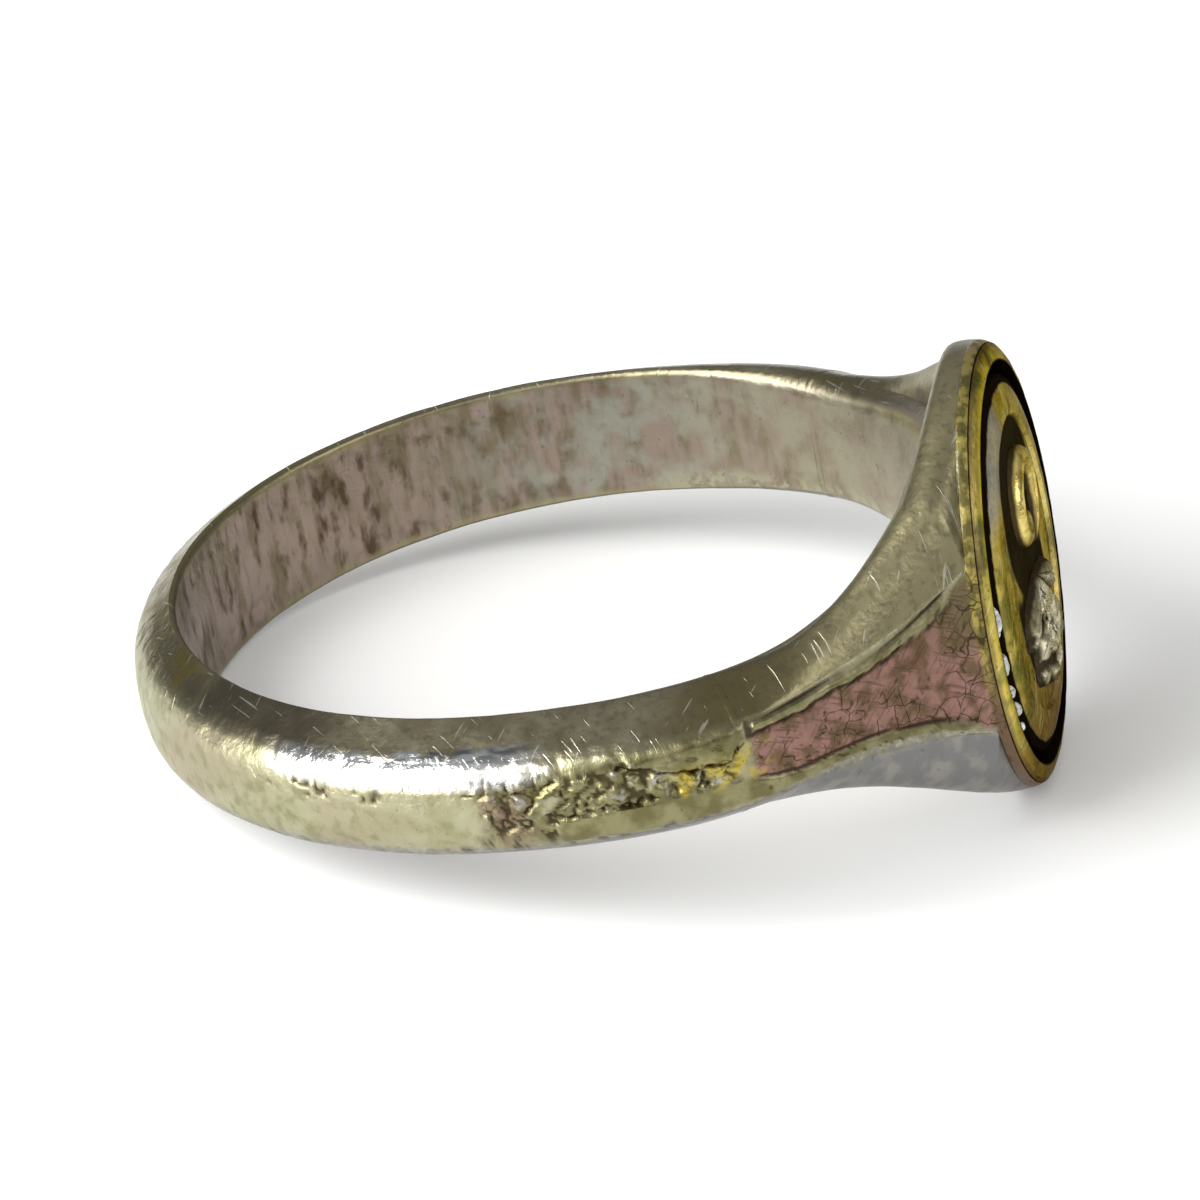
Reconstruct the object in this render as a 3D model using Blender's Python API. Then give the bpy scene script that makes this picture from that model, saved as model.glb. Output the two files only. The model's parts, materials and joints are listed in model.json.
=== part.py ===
"""Worn signet ring lying on its side: a half-round shank band soldered to a cast head with flat
shoulder facets, and a gilt plaque with raised ornament set in a gilt collar.

Every size is in millimetres in the ring's own frame: the finger axis is Z and the head points to +X.
The finished pieces hang under one empty, which lays the ring down on its back edge and head rim.
"""

import math

import bmesh
import bpy
import numpy as np
from mathutils import Matrix

MM = 0.001

# Finger hole and shank
BORE_RADIUS = 9.5
BACK_THICKNESS = 1.28
SHOULDER_THICKNESS = 1.92
BACK_HALF_WIDTH = 1.8
SHOULDER_HALF_WIDTH = 1.75
HEAD_HALF_WIDTH = 2.95
BACK_CREASE_HALF = 1.25
SHOULDER_CREASE_HALF = 1.03
BACK_CROWN = 0.19
BACK_CREASE_SOFTNESS = 0.5
SHOULDER_CREASE_SOFTNESS = 0.16
BACK_SIDE_DROP = 1.0
BACK_EDGE_ROUND = 0.16
SHOULDER_EDGE_ROUND = 0.5
JOINT_ANGLE = math.radians(57.0)
FACET_START = math.radians(54.0)
SOLDER_THICKNESS = 0.16
SOLDER_PROUD = 0.03
SOLDER_BEAD_SHARE = 0.25
JOINT_CLEARANCE = 0.02

# Head: the widest outline of its rim, and the rounded nose that leads to the opening
RIM_X = 11.05
RIM_HALF_HEIGHT = 5.57
RIM_HALF_WIDTH = 5.08
RIM_CREASE_HALF = 2.2
FLANK_SWELL = 6.0
UPPER_SWEEP = 1.28
LOWER_SWEEP = 1.23
SHOULDER_DROP = 1.6
RIM_DROP = 8.0
FACET_FLARE = 3.1
FACET_SCOOP = 0.1
LIP_X = 11.53
OPENING_HALF_HEIGHT = 4.99
OPENING_HALF_WIDTH = 4.66
COLLAR_START = 0.36
COLLAR_WALL = 0.2
COLLAR_CLEARANCE = 0.02
WELL_DEPTH = 0.95
HEAD_LEAN = -0.036
LEAN_START = 6.0
LEAN_FULL = 10.4

# Plaque, measured outwards from the lip and inwards from the plaque's own edge
PLAQUE_GAP = 0.32
BED_THICKNESS = 0.22
BED_CLEARANCE = 0.02
BED_INSET = 0.25
PLAQUE_EDGE_DROP = 0.03
PLAQUE_EDGE_ROUND = 0.12
BORDER_WIDTH = 0.75
BORDER_RISE = 0.18
BORDER_BULGE = 0.62
LAND_WIDTH = 0.22
FIELD_DROP = 0.1
FIELD_STEP = 0.06
ORNAMENT_CLEARANCE = 0.01

# Raised ornament on the field: places are (across the finger, along the finger) from the plaque's middle
SCROLL_CENTRE = (0.4, 1.3)
SCROLL_OUTER_RADIUS = 1.55
SCROLL_INNER_RADIUS = 0.45
SCROLL_SPAN = (math.radians(-60.0), math.radians(330.0))
SCROLL_HALF_WIDTH = 0.36
SCROLL_HEIGHT = 0.34
SCROLL_TAPER = 0.35
LEAF_ROOT = (0.1, -0.4)
LEAF_SPAN = (math.radians(-172.0), math.radians(-8.0))
LEAF_REACH = 2.95
LEAF_SIDE_REACH = 2.0
LEAF_HEIGHT = 0.55
LEAF_LOBES = 5
LEAF_LOBE_DEPTH = 0.3
LEAF_LOBE_POWER = 0.7
LEAF_FOLD_SHARE = 0.5
LEAF_ROOT_RISE = 0.4
LEAF_SIDE_RISE = 0.3

# Solder crumbs caught in the gap: angle round the opening, half length, half depth
CRUMBS = (
    (math.radians(172.5), 0.42, 0.17),
    (math.radians(186.0), 0.33, 0.15),
    (math.radians(195.5), 0.19, 0.13),
    (math.radians(202.5), 0.24, 0.16),
    (math.radians(211.0), 0.15, 0.11),
)
CRUMB_CLEARANCE = 0.05
CRUMB_BELOW_LIP = 0.06
CRUMB_RIPPLE = 0.12
CRUMB_RIPPLE_RATE = 5.0

# Angles over which the shoulder's section turns into the back's
CROWN_FADE = 0.6
CREASE_FADE = 0.7
SIDE_FADE = 0.9
EDGE_FADE_END = 1.5
EDGE_FADE = 0.6

# Mesh fineness
RIM_STEPS_FACET = 5
RIM_STEPS_FLANK = 12
SHOULDER_STEPS = 11
BAND_STEPS = 54
EDGE_STEPS = 3
SIDE_STEPS = 9
CREASE_STEPS = 3
NOSE_STEPS = 4
PLAQUE_EDGE_STEPS = 3
SCROLL_STEPS = 44
SCROLL_SIDES = 10
LEAF_STEPS_PER_LOBE = 8
LEAF_RINGS = 8
CRUMB_STEPS = 8
CRUMB_SIDES = 10
WELD = 2e-4
SHARP_ANGLE = math.radians(38)


def ease(t):
    """Smooth step from 0 to 1."""
    t = min(1.0, max(0.0, t))
    return t * t * (3 - 2 * t)


def blend(a, b, t):
    return a + (b - a) * t


# ---------------------------------------------------------------- shape of the shank and the head

RIM_CORNER = math.asin(RIM_CREASE_HALF / RIM_HALF_HEIGHT)
CORNER_Y = RIM_HALF_WIDTH * math.cos(RIM_CORNER)
CORNER_ANGLE = math.atan2(CORNER_Y, RIM_X)
SHOULDER_RADIUS = BORE_RADIUS + SHOULDER_THICKNESS
FACET_RUN_X = RIM_X - SHOULDER_RADIUS * math.cos(FACET_START)
FACET_RUN_Y = SHOULDER_RADIUS * math.sin(FACET_START) - CORNER_Y
FACET_TURN = math.atan2(FACET_RUN_X, FACET_RUN_Y)
FACET_REACH = RIM_X * math.cos(FACET_TURN) + CORNER_Y * math.sin(FACET_TURN)


def rim_point(phi):
    """Point on the widest outline of the head; phi 0 is its +Y end, 90 degrees its top."""
    return np.array([RIM_X, RIM_HALF_WIDTH * math.cos(phi), RIM_HALF_HEIGHT * math.sin(phi)])


def section(theta, below):
    """Sizes of the ring's cross-section at an angle theta (0 to pi) round the finger axis.

    The lower half of the head sweeps out wider than the upper one, so below picks the half.
    """
    toward_head = max(0.0, (FACET_START - theta) / (FACET_START - CORNER_ANGLE))
    t = min(1.0, toward_head)
    back = ease((theta - FACET_START) / (math.pi - FACET_START))
    head = ease((FACET_START - theta) / FACET_START)
    if theta < FACET_START:
        outline = FACET_REACH / math.cos(FACET_TURN - theta)
        outline -= FACET_SCOOP * math.sin(math.pi * t) / 2
    else:
        outline = BORE_RADIUS + blend(SHOULDER_THICKNESS, BACK_THICKNESS, back)
    crown = BACK_CROWN * ease((theta - FACET_START) / CROWN_FADE)
    crease_half = blend(SHOULDER_CREASE_HALF, RIM_CREASE_HALF, t**FACET_FLARE)
    if theta >= FACET_START:
        crease_half = blend(SHOULDER_CREASE_HALF, BACK_CREASE_HALF, back)
    past_crease = ease((theta - FACET_START) / CREASE_FADE)
    softness = blend(SHOULDER_CREASE_SOFTNESS, BACK_CREASE_SOFTNESS, past_crease)
    side_half = blend(SHOULDER_HALF_WIDTH, BACK_HALF_WIDTH, back)
    sweep = ease(1 - theta / JOINT_ANGLE) ** (LOWER_SWEEP if below else UPPER_SWEEP)
    drop = blend(SHOULDER_DROP, RIM_DROP, t)
    if theta >= FACET_START:
        drop = blend(SHOULDER_DROP, BACK_SIDE_DROP, ease((theta - FACET_START) / SIDE_FADE))
    past_edge = ease((EDGE_FADE_END - theta) / EDGE_FADE)
    return {
        "crease_radius": outline - crown,
        "crease_half": crease_half,
        "crown": crown,
        "softness": softness * (1 - t),
        "bore_half": blend(side_half, HEAD_HALF_WIDTH, head),
        "edge_round": blend(BACK_EDGE_ROUND, SHOULDER_EDGE_ROUND, past_edge),
        "flank_height": blend(side_half, RIM_HALF_HEIGHT, sweep),
        "drop": drop,
        "flare": t * t,
    }


def on_plane(theta, radius, z):
    return np.array([radius * math.cos(theta), radius * math.sin(theta), z])


def side_points(theta, radius_out, z_out, sizes):
    """Upper half of one column: up the bore wall, round its edge, then out along the side face."""
    points = [on_plane(theta, BORE_RADIUS, 0.0)]
    r = sizes["edge_round"]
    for i in range(EDGE_STEPS):
        turn = math.pi / 2 * i / EDGE_STEPS
        z = sizes["bore_half"] - r * (1 - math.sin(turn))
        points.append(on_plane(theta, BORE_RADIUS + r * (1 - math.cos(turn)), z))
    start = BORE_RADIUS + r
    last = 1 - sizes["softness"] / (radius_out - start)
    for i in range(SIDE_STEPS + 1):
        s = last * (1 - math.cos(math.pi * i / SIDE_STEPS)) / 2
        climb = (sizes["flank_height"] - sizes["bore_half"]) * (1 - (1 - s) ** FLANK_SWELL)
        fall = (sizes["flank_height"] - z_out) * s ** sizes["drop"]
        z = sizes["bore_half"] + climb - fall
        points.append(on_plane(theta, blend(start, radius_out, s), z))
    return points


def facet_point(theta, v, sizes):
    """Point on the outer face at height v times the crease height."""
    z = sizes["crease_half"] * v
    radius = sizes["crease_radius"] + sizes["crown"] * (1 - v * v)
    point = on_plane(theta, radius, z)
    rim_y = RIM_HALF_WIDTH * math.sqrt(1 - (z / RIM_HALF_HEIGHT) ** 2)
    corner_y = RIM_HALF_WIDTH * math.sqrt(1 - (sizes["crease_half"] / RIM_HALF_HEIGHT) ** 2)
    point[1] += (rim_y - corner_y) * sizes["flare"]
    return point


def soft_corner(before, corner, after, steps):
    """Points strictly between two ends of a corner rounded as one quadratic curve."""
    points = []
    for i in range(1, steps):
        t = i / steps
        points.append((1 - t) ** 2 * before + 2 * t * (1 - t) * corner + t * t * after)
    return points


def outer_points(theta, sizes, first):
    """Round the crease and down the outer face to the mid-plane; first is the side face's last point."""
    top = 1 - sizes["softness"] / sizes["crease_half"]
    corner = facet_point(theta, 1.0, sizes)
    rows = []
    for k in range(RIM_STEPS_FACET, -1, -1):
        v = math.sin(RIM_CORNER * k / RIM_STEPS_FACET) / math.sin(RIM_CORNER)
        rows.append(facet_point(theta, top * v, sizes))
    return soft_corner(first, corner, rows[0], CREASE_STEPS) + rows


def half_column(theta, below, grow=0.0):
    """Half of the closed section at theta, drawn above the mid-plane, from the bore round to the outside."""
    sizes = section(theta, below)
    sizes["crease_radius"] += grow
    for name in ("crease_half", "bore_half", "flank_height"):
        sizes[name] += grow
    side = side_points(theta, sizes["crease_radius"], sizes["crease_half"], sizes)
    return side + outer_points(theta, sizes, side[-1])


def full_loop(theta, grow=0.0):
    """Closed loop of the section at any angle from 0 to 2 pi."""
    folded = theta if theta <= math.pi else 2 * math.pi - theta
    upper = np.array(half_column(folded, False, grow))
    lower = np.array(half_column(folded, True, grow))[-2:0:-1] * (1, 1, -1)
    loop = np.concatenate([upper, lower])
    return loop if theta <= math.pi else loop * (1, -1, 1)


def flank_column(phi, below):
    """Half of a column of the head that ends on the rim's outline at phi."""
    end = rim_point(phi)
    theta = math.atan2(end[1], end[0])
    sizes = section(theta, below)
    sizes["softness"] = 0.0
    return side_points(theta, math.hypot(end[0], end[1]), end[2], sizes)


# ---------------------------------------------------------------- meshes

def rim_phis():
    """Angles round the rim that the head's columns end on, one full turn."""
    quarter = [RIM_CORNER * k / RIM_STEPS_FACET for k in range(RIM_STEPS_FACET)]
    span = math.pi / 2 - RIM_CORNER
    quarter += [RIM_CORNER + span * k / RIM_STEPS_FLANK for k in range(RIM_STEPS_FLANK)]
    phis = list(quarter)
    phis += [math.pi - a for a in [math.pi / 2] + quarter[:0:-1]]
    return phis + [a + math.pi for a in phis]


def ellipse_row(x, half_width, half_height, phis):
    return np.array([[x, half_width * math.cos(a), half_height * math.sin(a)] for a in phis])


def nose_row(q, phis):
    """One outline of the rounded rim: q 0 is its widest, q 1 the edge of the opening."""
    x = RIM_X + (LIP_X - RIM_X) * math.sin(q * math.pi / 2)
    out = math.cos(q * math.pi / 2)
    half_width = blend(OPENING_HALF_WIDTH, RIM_HALF_WIDTH, out)
    half_height = blend(OPENING_HALF_HEIGHT, RIM_HALF_HEIGHT, out)
    return ellipse_row(x, half_width, half_height, phis)


def well_row(x, outset, phis):
    return ellipse_row(x, OPENING_HALF_WIDTH + outset, OPENING_HALF_HEIGHT + outset, phis)


def plaque_row(x, inset, phis):
    return well_row(x, -PLAQUE_GAP - inset, phis)


def grid_faces(first, rows, columns, closed):
    """Quads of a rows by columns grid of points numbered from first."""
    faces = []
    for i in range(rows - 1):
        for j in range(columns if closed else columns - 1):
            k = (j + 1) % columns
            a = first + i * columns
            faces.append((a + j, a + k, a + columns + k, a + columns + j))
    return faces


def leaned(point):
    """The head leans a little: its foot stands forward of its top. The back of the ring is left as it is."""
    x, y, z = point
    return x + HEAD_LEAN * z * ease((x - LEAN_START) / (LEAN_FULL - LEAN_START)), y, z


def make_piece(name, grids, caps, material, parent):
    """One closed mesh object from grids of points (rows, closed across) and flat cap loops."""
    points = []
    faces = []
    for rows, closed in grids:
        rows = np.array(rows)
        faces += grid_faces(len(points), len(rows), len(rows[0]), closed)
        points += [tuple(p) for p in rows.reshape(-1, 3)]
    for loop in caps:
        faces.append(tuple(range(len(points), len(points) + len(loop))))
        points += [tuple(p) for p in loop]
    mesh = bpy.data.meshes.new(name)
    mesh.from_pydata([tuple(c * MM for c in leaned(p)) for p in points], [], faces)
    shape = bmesh.new()
    shape.from_mesh(mesh)
    bmesh.ops.remove_doubles(shape, verts=shape.verts, dist=WELD * MM)
    bmesh.ops.recalc_face_normals(shape, faces=shape.faces)
    shape.to_mesh(mesh)
    shape.free()
    mesh.shade_smooth()
    mesh.set_sharp_from_angle(angle=SHARP_ANGLE)
    mesh.materials.append(material)
    piece = bpy.data.objects.new(name, mesh)
    bpy.context.scene.collection.objects.link(piece)
    piece.parent = parent
    return piece


def make_band(material, parent):
    start = JOINT_ANGLE + (SOLDER_THICKNESS + 2 * JOINT_CLEARANCE) / SHOULDER_RADIUS
    span = 2 * math.pi - 2 * start
    loops = [full_loop(start + span * i / BAND_STEPS) for i in range(BAND_STEPS + 1)]
    return make_piece("shank_band", [(loops, True)], [loops[0], loops[-1]], material, parent)


def make_joint_solder(name, side, material, parent):
    """Thin seam of solder that fills the joint; side 1 is the +Y shoulder and -1 the -Y one."""
    start = JOINT_ANGLE + JOINT_CLEARANCE / SHOULDER_RADIUS
    loops = []
    bead = SOLDER_BEAD_SHARE
    for share, grow in ((0.0, 0.0), (bead, SOLDER_PROUD), (1.0 - bead, SOLDER_PROUD), (1.0, 0.0)):
        theta = start + share * SOLDER_THICKNESS / SHOULDER_RADIUS
        loops.append(full_loop(theta, grow) * (1, side, 1))
    return make_piece(name, [(loops, True)], [loops[0], loops[-1]], material, parent)


def head_shell_grids():
    """The head's outside, up to the rim's widest outline, as grids for all four quarters."""
    thetas = [blend(CORNER_ANGLE, JOINT_ANGLE, i / SHOULDER_STEPS) for i in range(SHOULDER_STEPS + 1)]
    span = math.pi / 2 - RIM_CORNER
    phis = [RIM_CORNER + span * k / RIM_STEPS_FLANK for k in range(RIM_STEPS_FLANK + 1)]
    grids = []
    for below in (False, True):
        shoulder = np.array([half_column(theta, below) for theta in thetas])
        flank = np.array([flank_column(phi, below) for phi in phis])
        for y_sign in (1, -1):
            mirror = (1, y_sign, -1 if below else 1)
            grids.append((shoulder * mirror, False))
            grids.append((flank * mirror, False))
    return grids


def make_head(material, parent):
    phis = rim_phis()
    ledge = nose_row(COLLAR_START, phis)
    well = COLLAR_WALL + COLLAR_CLEARANCE
    floor_x = LIP_X - WELL_DEPTH
    rows = [nose_row(COLLAR_START * i / NOSE_STEPS, phis) for i in range(NOSE_STEPS)]
    rows.append(ledge)
    rows.append(well_row(ledge[0][0], well, phis))
    rows.append(well_row(floor_x, well, phis))
    caps = [rows[-1]]
    for side in (1, -1):
        caps.append(full_loop(JOINT_ANGLE) * (1, side, 1))
    return make_piece("head_casting", head_shell_grids() + [(rows, True)], caps, material, parent)


def make_collar(material, parent):
    """Gilt lip over the rim, with its wall standing in the well."""
    phis = rim_phis()
    seat_x = nose_row(COLLAR_START, phis)[0][0] + COLLAR_CLEARANCE
    floor_x = LIP_X - WELL_DEPTH + COLLAR_CLEARANCE
    rows = []
    for i in range(NOSE_STEPS + 1):
        row = nose_row(blend(COLLAR_START, 1.0, i / NOSE_STEPS), phis)
        row[:, 0] = np.maximum(row[:, 0], seat_x)
        rows.append(row)
    rows.append(well_row(floor_x, 0.0, phis))
    rows.append(well_row(floor_x, COLLAR_WALL, phis))
    rows.append(well_row(seat_x, COLLAR_WALL, phis))
    rows.append(rows[0])
    return make_piece("bezel_collar", [(rows, True)], [], material, parent)


def bed_base_x():
    return LIP_X - WELL_DEPTH + BED_CLEARANCE


def make_bed(material, parent):
    phis = rim_phis()
    rows = [plaque_row(bed_base_x(), BED_INSET, phis)]
    rows.append(plaque_row(bed_base_x() + BED_THICKNESS, BED_INSET, phis))
    return make_piece("plaque_bed_solder", [(rows, True)], [rows[0], rows[-1]], material, parent)


def field_x():
    return LIP_X - PLAQUE_EDGE_DROP + BORDER_RISE - FIELD_DROP


def make_plaque(material, parent):
    """Oval plate: rounded edge, border rising to a flat land, then a step down to the field."""
    phis = rim_phis()
    edge_x = LIP_X - PLAQUE_EDGE_DROP
    land_x = edge_x + BORDER_RISE
    rows = [plaque_row(bed_base_x() + BED_THICKNESS + BED_CLEARANCE, 0.0, phis)]
    for i in range(PLAQUE_EDGE_STEPS + 1):
        turn = math.pi / 2 * i / PLAQUE_EDGE_STEPS
        inset = PLAQUE_EDGE_ROUND * (1 - math.cos(turn))
        rows.append(plaque_row(edge_x - PLAQUE_EDGE_ROUND * (1 - math.sin(turn)), inset, phis))
    rows.append(plaque_row(blend(edge_x, land_x, BORDER_BULGE), BORDER_WIDTH / 2, phis))
    rows.append(plaque_row(land_x, BORDER_WIDTH, phis))
    rows.append(plaque_row(land_x, BORDER_WIDTH + LAND_WIDTH, phis))
    rows.append(plaque_row(field_x(), BORDER_WIDTH + LAND_WIDTH + FIELD_STEP, phis))
    return make_piece("plaque", [(rows, True)], [rows[0], rows[-1]], material, parent)


def make_ornament(name, spots, heights, material, parent):
    """Raised piece with a flat underside: spots is a grid of places, heights its relief over the field.

    The relief is nothing all round the grid, so the top and the underside meet there.
    """
    base = field_x() + ORNAMENT_CLEARANCE
    top = []
    under = []
    for spot_row, height_row in zip(spots, heights):
        top.append([(base + height, y, z) for (y, z), height in zip(spot_row, height_row)])
        under.append([(base, y, z) for y, z in spot_row])
    return make_piece(name, [(top, False), (under, False)], [], material, parent)


def make_scroll(material, parent):
    """Curled ridge with a rounded back that winds inwards."""
    spots = []
    heights = []
    for i in range(SCROLL_STEPS + 1):
        s = i / SCROLL_STEPS
        angle = blend(*SCROLL_SPAN, s)
        radius = blend(SCROLL_OUTER_RADIUS, SCROLL_INNER_RADIUS, s)
        fullness = math.sin(math.pi * s) ** SCROLL_TAPER
        spot_row = []
        height_row = []
        for j in range(SCROLL_SIDES + 1):
            t = 2 * j / SCROLL_SIDES - 1
            r = radius + SCROLL_HALF_WIDTH * fullness * t
            spot_row.append((SCROLL_CENTRE[0] + r * math.cos(angle), SCROLL_CENTRE[1] + r * math.sin(angle)))
            height_row.append(SCROLL_HEIGHT * fullness * math.sqrt(1 - t * t))
        spots.append(spot_row)
        heights.append(height_row)
    return make_ornament("scroll_ridge", spots, heights, material, parent)


def make_leaf(material, parent):
    """Fan of leaf lobes that open downwards from one root."""
    steps = LEAF_LOBES * LEAF_STEPS_PER_LOBE
    spots = []
    heights = []
    for i in range(steps + 1):
        u = i / steps
        angle = blend(*LEAF_SPAN, u)
        side = math.sin(math.pi * u)
        lobe = abs(math.sin(math.pi * LEAF_LOBES * u)) ** LEAF_LOBE_POWER
        reach = blend(LEAF_SIDE_REACH, LEAF_REACH, side) * (1 - LEAF_LOBE_DEPTH * (1 - lobe))
        spot_row = []
        height_row = []
        for j in range(LEAF_RINGS + 1):
            v = j / LEAF_RINGS
            fold = 1 - LEAF_FOLD_SHARE * (1 - lobe)
            rise = v**LEAF_ROOT_RISE * math.sqrt(1 - v**4) * side**LEAF_SIDE_RISE
            out = reach * v
            spot_row.append((LEAF_ROOT[0] + out * math.cos(angle), LEAF_ROOT[1] + out * math.sin(angle)))
            height_row.append(LEAF_HEIGHT * fold * rise)
        spots.append(spot_row)
        heights.append(height_row)
    return make_ornament("leaf_relief", spots, heights, material, parent)


def make_crumb(number, angle, half_length, half_depth, material, parent):
    """Rounded lump of solder lying along the gap."""
    middle = -PLAQUE_GAP / 2
    half_gap = PLAQUE_GAP / 2 - CRUMB_CLEARANCE
    x = LIP_X - CRUMB_BELOW_LIP
    across_y = OPENING_HALF_WIDTH + middle
    across_z = OPENING_HALF_HEIGHT + middle
    speed = math.hypot(across_y * math.sin(angle), across_z * math.cos(angle))
    rows = []
    for i in range(CRUMB_STEPS + 1):
        turn = math.pi * i / CRUMB_STEPS
        a = angle - half_length * math.cos(turn) / speed
        centre = np.array((x, across_y * math.cos(a), across_z * math.sin(a)))
        outward = np.array((0.0, math.cos(a) / across_y, math.sin(a) / across_z))
        outward /= np.linalg.norm(outward)
        size = math.sin(turn) * (1 + CRUMB_RIPPLE * (math.sin(CRUMB_RIPPLE_RATE * a + number) - 1))
        row = []
        for j in range(CRUMB_SIDES):
            spin = 2 * math.pi * j / CRUMB_SIDES
            out = outward * half_gap * math.cos(spin) * size
            up = np.array((half_depth * math.sin(spin) * size, 0.0, 0.0))
            row.append(centre + out + up)
        rows.append(row)
    return make_piece(f"gap_solder_{number}", [(rows, True)], [], material, parent)


# ---------------------------------------------------------------- materials

def make_material(name, colour, metallic, roughness):
    material = bpy.data.materials.new(name)
    material.use_nodes = True
    shader = material.node_tree.nodes["Principled BSDF"]
    shader.inputs["Base Color"].default_value = (*colour, 1)
    shader.inputs["Metallic"].default_value = metallic
    shader.inputs["Roughness"].default_value = roughness
    return material


# ---------------------------------------------------------------- resting attitude

def lowest(points, tilt):
    return (points[:, 0] * math.sin(tilt) + points[:, 2] * math.cos(tilt)).min()


def resting_tilt(points):
    """Angle that brings the back's lowest edge and the head's lowest edge to one level."""
    back = points[points[:, 0] < 0]
    head = points[points[:, 0] > 0]
    low, high = 0.0, math.radians(45)
    for _ in range(60):
        middle = (low + high) / 2
        if lowest(head, middle) < lowest(back, middle):
            low = middle
        else:
            high = middle
    return low


def lay_down(frame, pieces):
    """Turns the ring about Y onto its two lowest edges, with the box's middle over the origin."""
    points = np.concatenate([[tuple(v.co) for v in piece.data.vertices] for piece in pieces])
    turn = Matrix.Rotation(-resting_tilt(points), 4, "Y")
    turned = points @ np.array(turn.to_3x3()).T
    low = turned.min(axis=0)
    high = turned.max(axis=0)
    middle = (low + high) / 2
    frame.matrix_world = Matrix.Translation((-middle[0], -middle[1], -low[2])) @ turn


def main():
    for old in list(bpy.data.objects):
        bpy.data.objects.remove(old, do_unlink=True)
    frame = bpy.data.objects.new("ring_frame", None)
    bpy.context.scene.collection.objects.link(frame)
    body_metal = make_material("worn silver alloy", (0.42, 0.39, 0.30), 1.0, 0.34)
    head_metal = make_material("worn head alloy", (0.44, 0.40, 0.32), 1.0, 0.32)
    lip_gilt = make_material("gilt lip", (0.66, 0.50, 0.16), 1.0, 0.3)
    plaque_gilt = make_material("gilt plaque", (0.70, 0.54, 0.20), 1.0, 0.28)
    ridge_gilt = make_material("bright gilt ridge", (0.80, 0.66, 0.28), 1.0, 0.22)
    leaf_silver = make_material("silver leaf", (0.68, 0.66, 0.60), 1.0, 0.26)
    seam_solder = make_material("seam solder", (0.58, 0.55, 0.48), 1.0, 0.4)
    bed_solder = make_material("dark bed solder", (0.16, 0.14, 0.12), 1.0, 0.6)
    crumb_solder = make_material("pale solder crumbs", (0.74, 0.73, 0.70), 1.0, 0.5)
    pieces = [
        make_band(body_metal, frame),
        make_head(head_metal, frame),
        make_joint_solder("shoulder_solder_near", -1, seam_solder, frame),
        make_joint_solder("shoulder_solder_far", 1, seam_solder, frame),
        make_collar(lip_gilt, frame),
        make_bed(bed_solder, frame),
        make_plaque(plaque_gilt, frame),
        make_scroll(ridge_gilt, frame),
        make_leaf(leaf_silver, frame),
    ]
    for number, (angle, half_length, half_depth) in enumerate(CRUMBS, 1):
        pieces.append(make_crumb(number, angle, half_length, half_depth, crumb_solder, frame))
    lay_down(frame, pieces)


main()
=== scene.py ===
"""Visual model of the worn signet ring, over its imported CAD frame.

Every piece is made again from the CAD model's sizes, in millimetres in the ring's own frame (finger axis Z,
head towards +X, near side -Y), with a finer mesh that carries the wear, and is then laid where the CAD lies.
"""

import json
import math

import bmesh
import bpy
import numpy as np
from mathutils import Matrix, Vector


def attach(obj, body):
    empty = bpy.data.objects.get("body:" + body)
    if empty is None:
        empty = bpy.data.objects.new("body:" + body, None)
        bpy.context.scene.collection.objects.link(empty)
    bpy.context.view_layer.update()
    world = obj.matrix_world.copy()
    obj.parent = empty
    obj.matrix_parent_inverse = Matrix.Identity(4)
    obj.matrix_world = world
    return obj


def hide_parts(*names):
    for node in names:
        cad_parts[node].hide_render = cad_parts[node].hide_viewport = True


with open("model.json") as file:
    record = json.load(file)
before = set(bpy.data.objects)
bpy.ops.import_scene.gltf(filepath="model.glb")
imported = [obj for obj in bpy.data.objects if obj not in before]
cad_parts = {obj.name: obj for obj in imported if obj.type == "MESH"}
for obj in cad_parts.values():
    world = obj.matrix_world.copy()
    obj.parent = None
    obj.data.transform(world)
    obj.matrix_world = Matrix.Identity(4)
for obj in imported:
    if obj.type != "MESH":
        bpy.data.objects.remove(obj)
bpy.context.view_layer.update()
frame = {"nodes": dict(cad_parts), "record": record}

MM = 0.001

# ---- sizes shared with the CAD model, in mm

BORE_RADIUS = 9.5
BACK_THICKNESS = 1.28
SHOULDER_THICKNESS = 1.92
BACK_HALF_WIDTH = 1.8
SHOULDER_HALF_WIDTH = 1.75
HEAD_HALF_WIDTH = 2.95
BACK_CREASE_HALF = 1.25
SHOULDER_CREASE_HALF = 1.03
BACK_CROWN = 0.19
BACK_CREASE_SOFTNESS = 0.5
SHOULDER_CREASE_SOFTNESS = 0.16
BACK_SIDE_DROP = 1.0
BACK_EDGE_ROUND = 0.16
SHOULDER_EDGE_ROUND = 0.5
JOINT_ANGLE = math.radians(57.0)
FACET_START = math.radians(54.0)
SOLDER_THICKNESS = 0.16
SOLDER_PROUD = 0.03
SOLDER_BEAD_SHARE = 0.25
JOINT_CLEARANCE = 0.02
RIM_X = 11.05
RIM_HALF_HEIGHT = 5.57
RIM_HALF_WIDTH = 5.08
RIM_CREASE_HALF = 2.2
FLANK_SWELL = 6.0
UPPER_SWEEP = 1.28
LOWER_SWEEP = 1.23
SHOULDER_DROP = 1.6
RIM_DROP = 8.0
FACET_FLARE = 3.1
FACET_SCOOP = 0.1
LIP_X = 11.53
OPENING_HALF_HEIGHT = 4.99
OPENING_HALF_WIDTH = 4.66
COLLAR_START = 0.36
COLLAR_WALL = 0.2
COLLAR_CLEARANCE = 0.02
WELL_DEPTH = 0.95
HEAD_LEAN = -0.036
LEAN_START = 6.0
LEAN_FULL = 10.4
PLAQUE_GAP = 0.32
BED_THICKNESS = 0.22
BED_CLEARANCE = 0.02
PLAQUE_EDGE_DROP = 0.03
PLAQUE_EDGE_ROUND = 0.12
BORDER_WIDTH = 0.75
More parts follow.
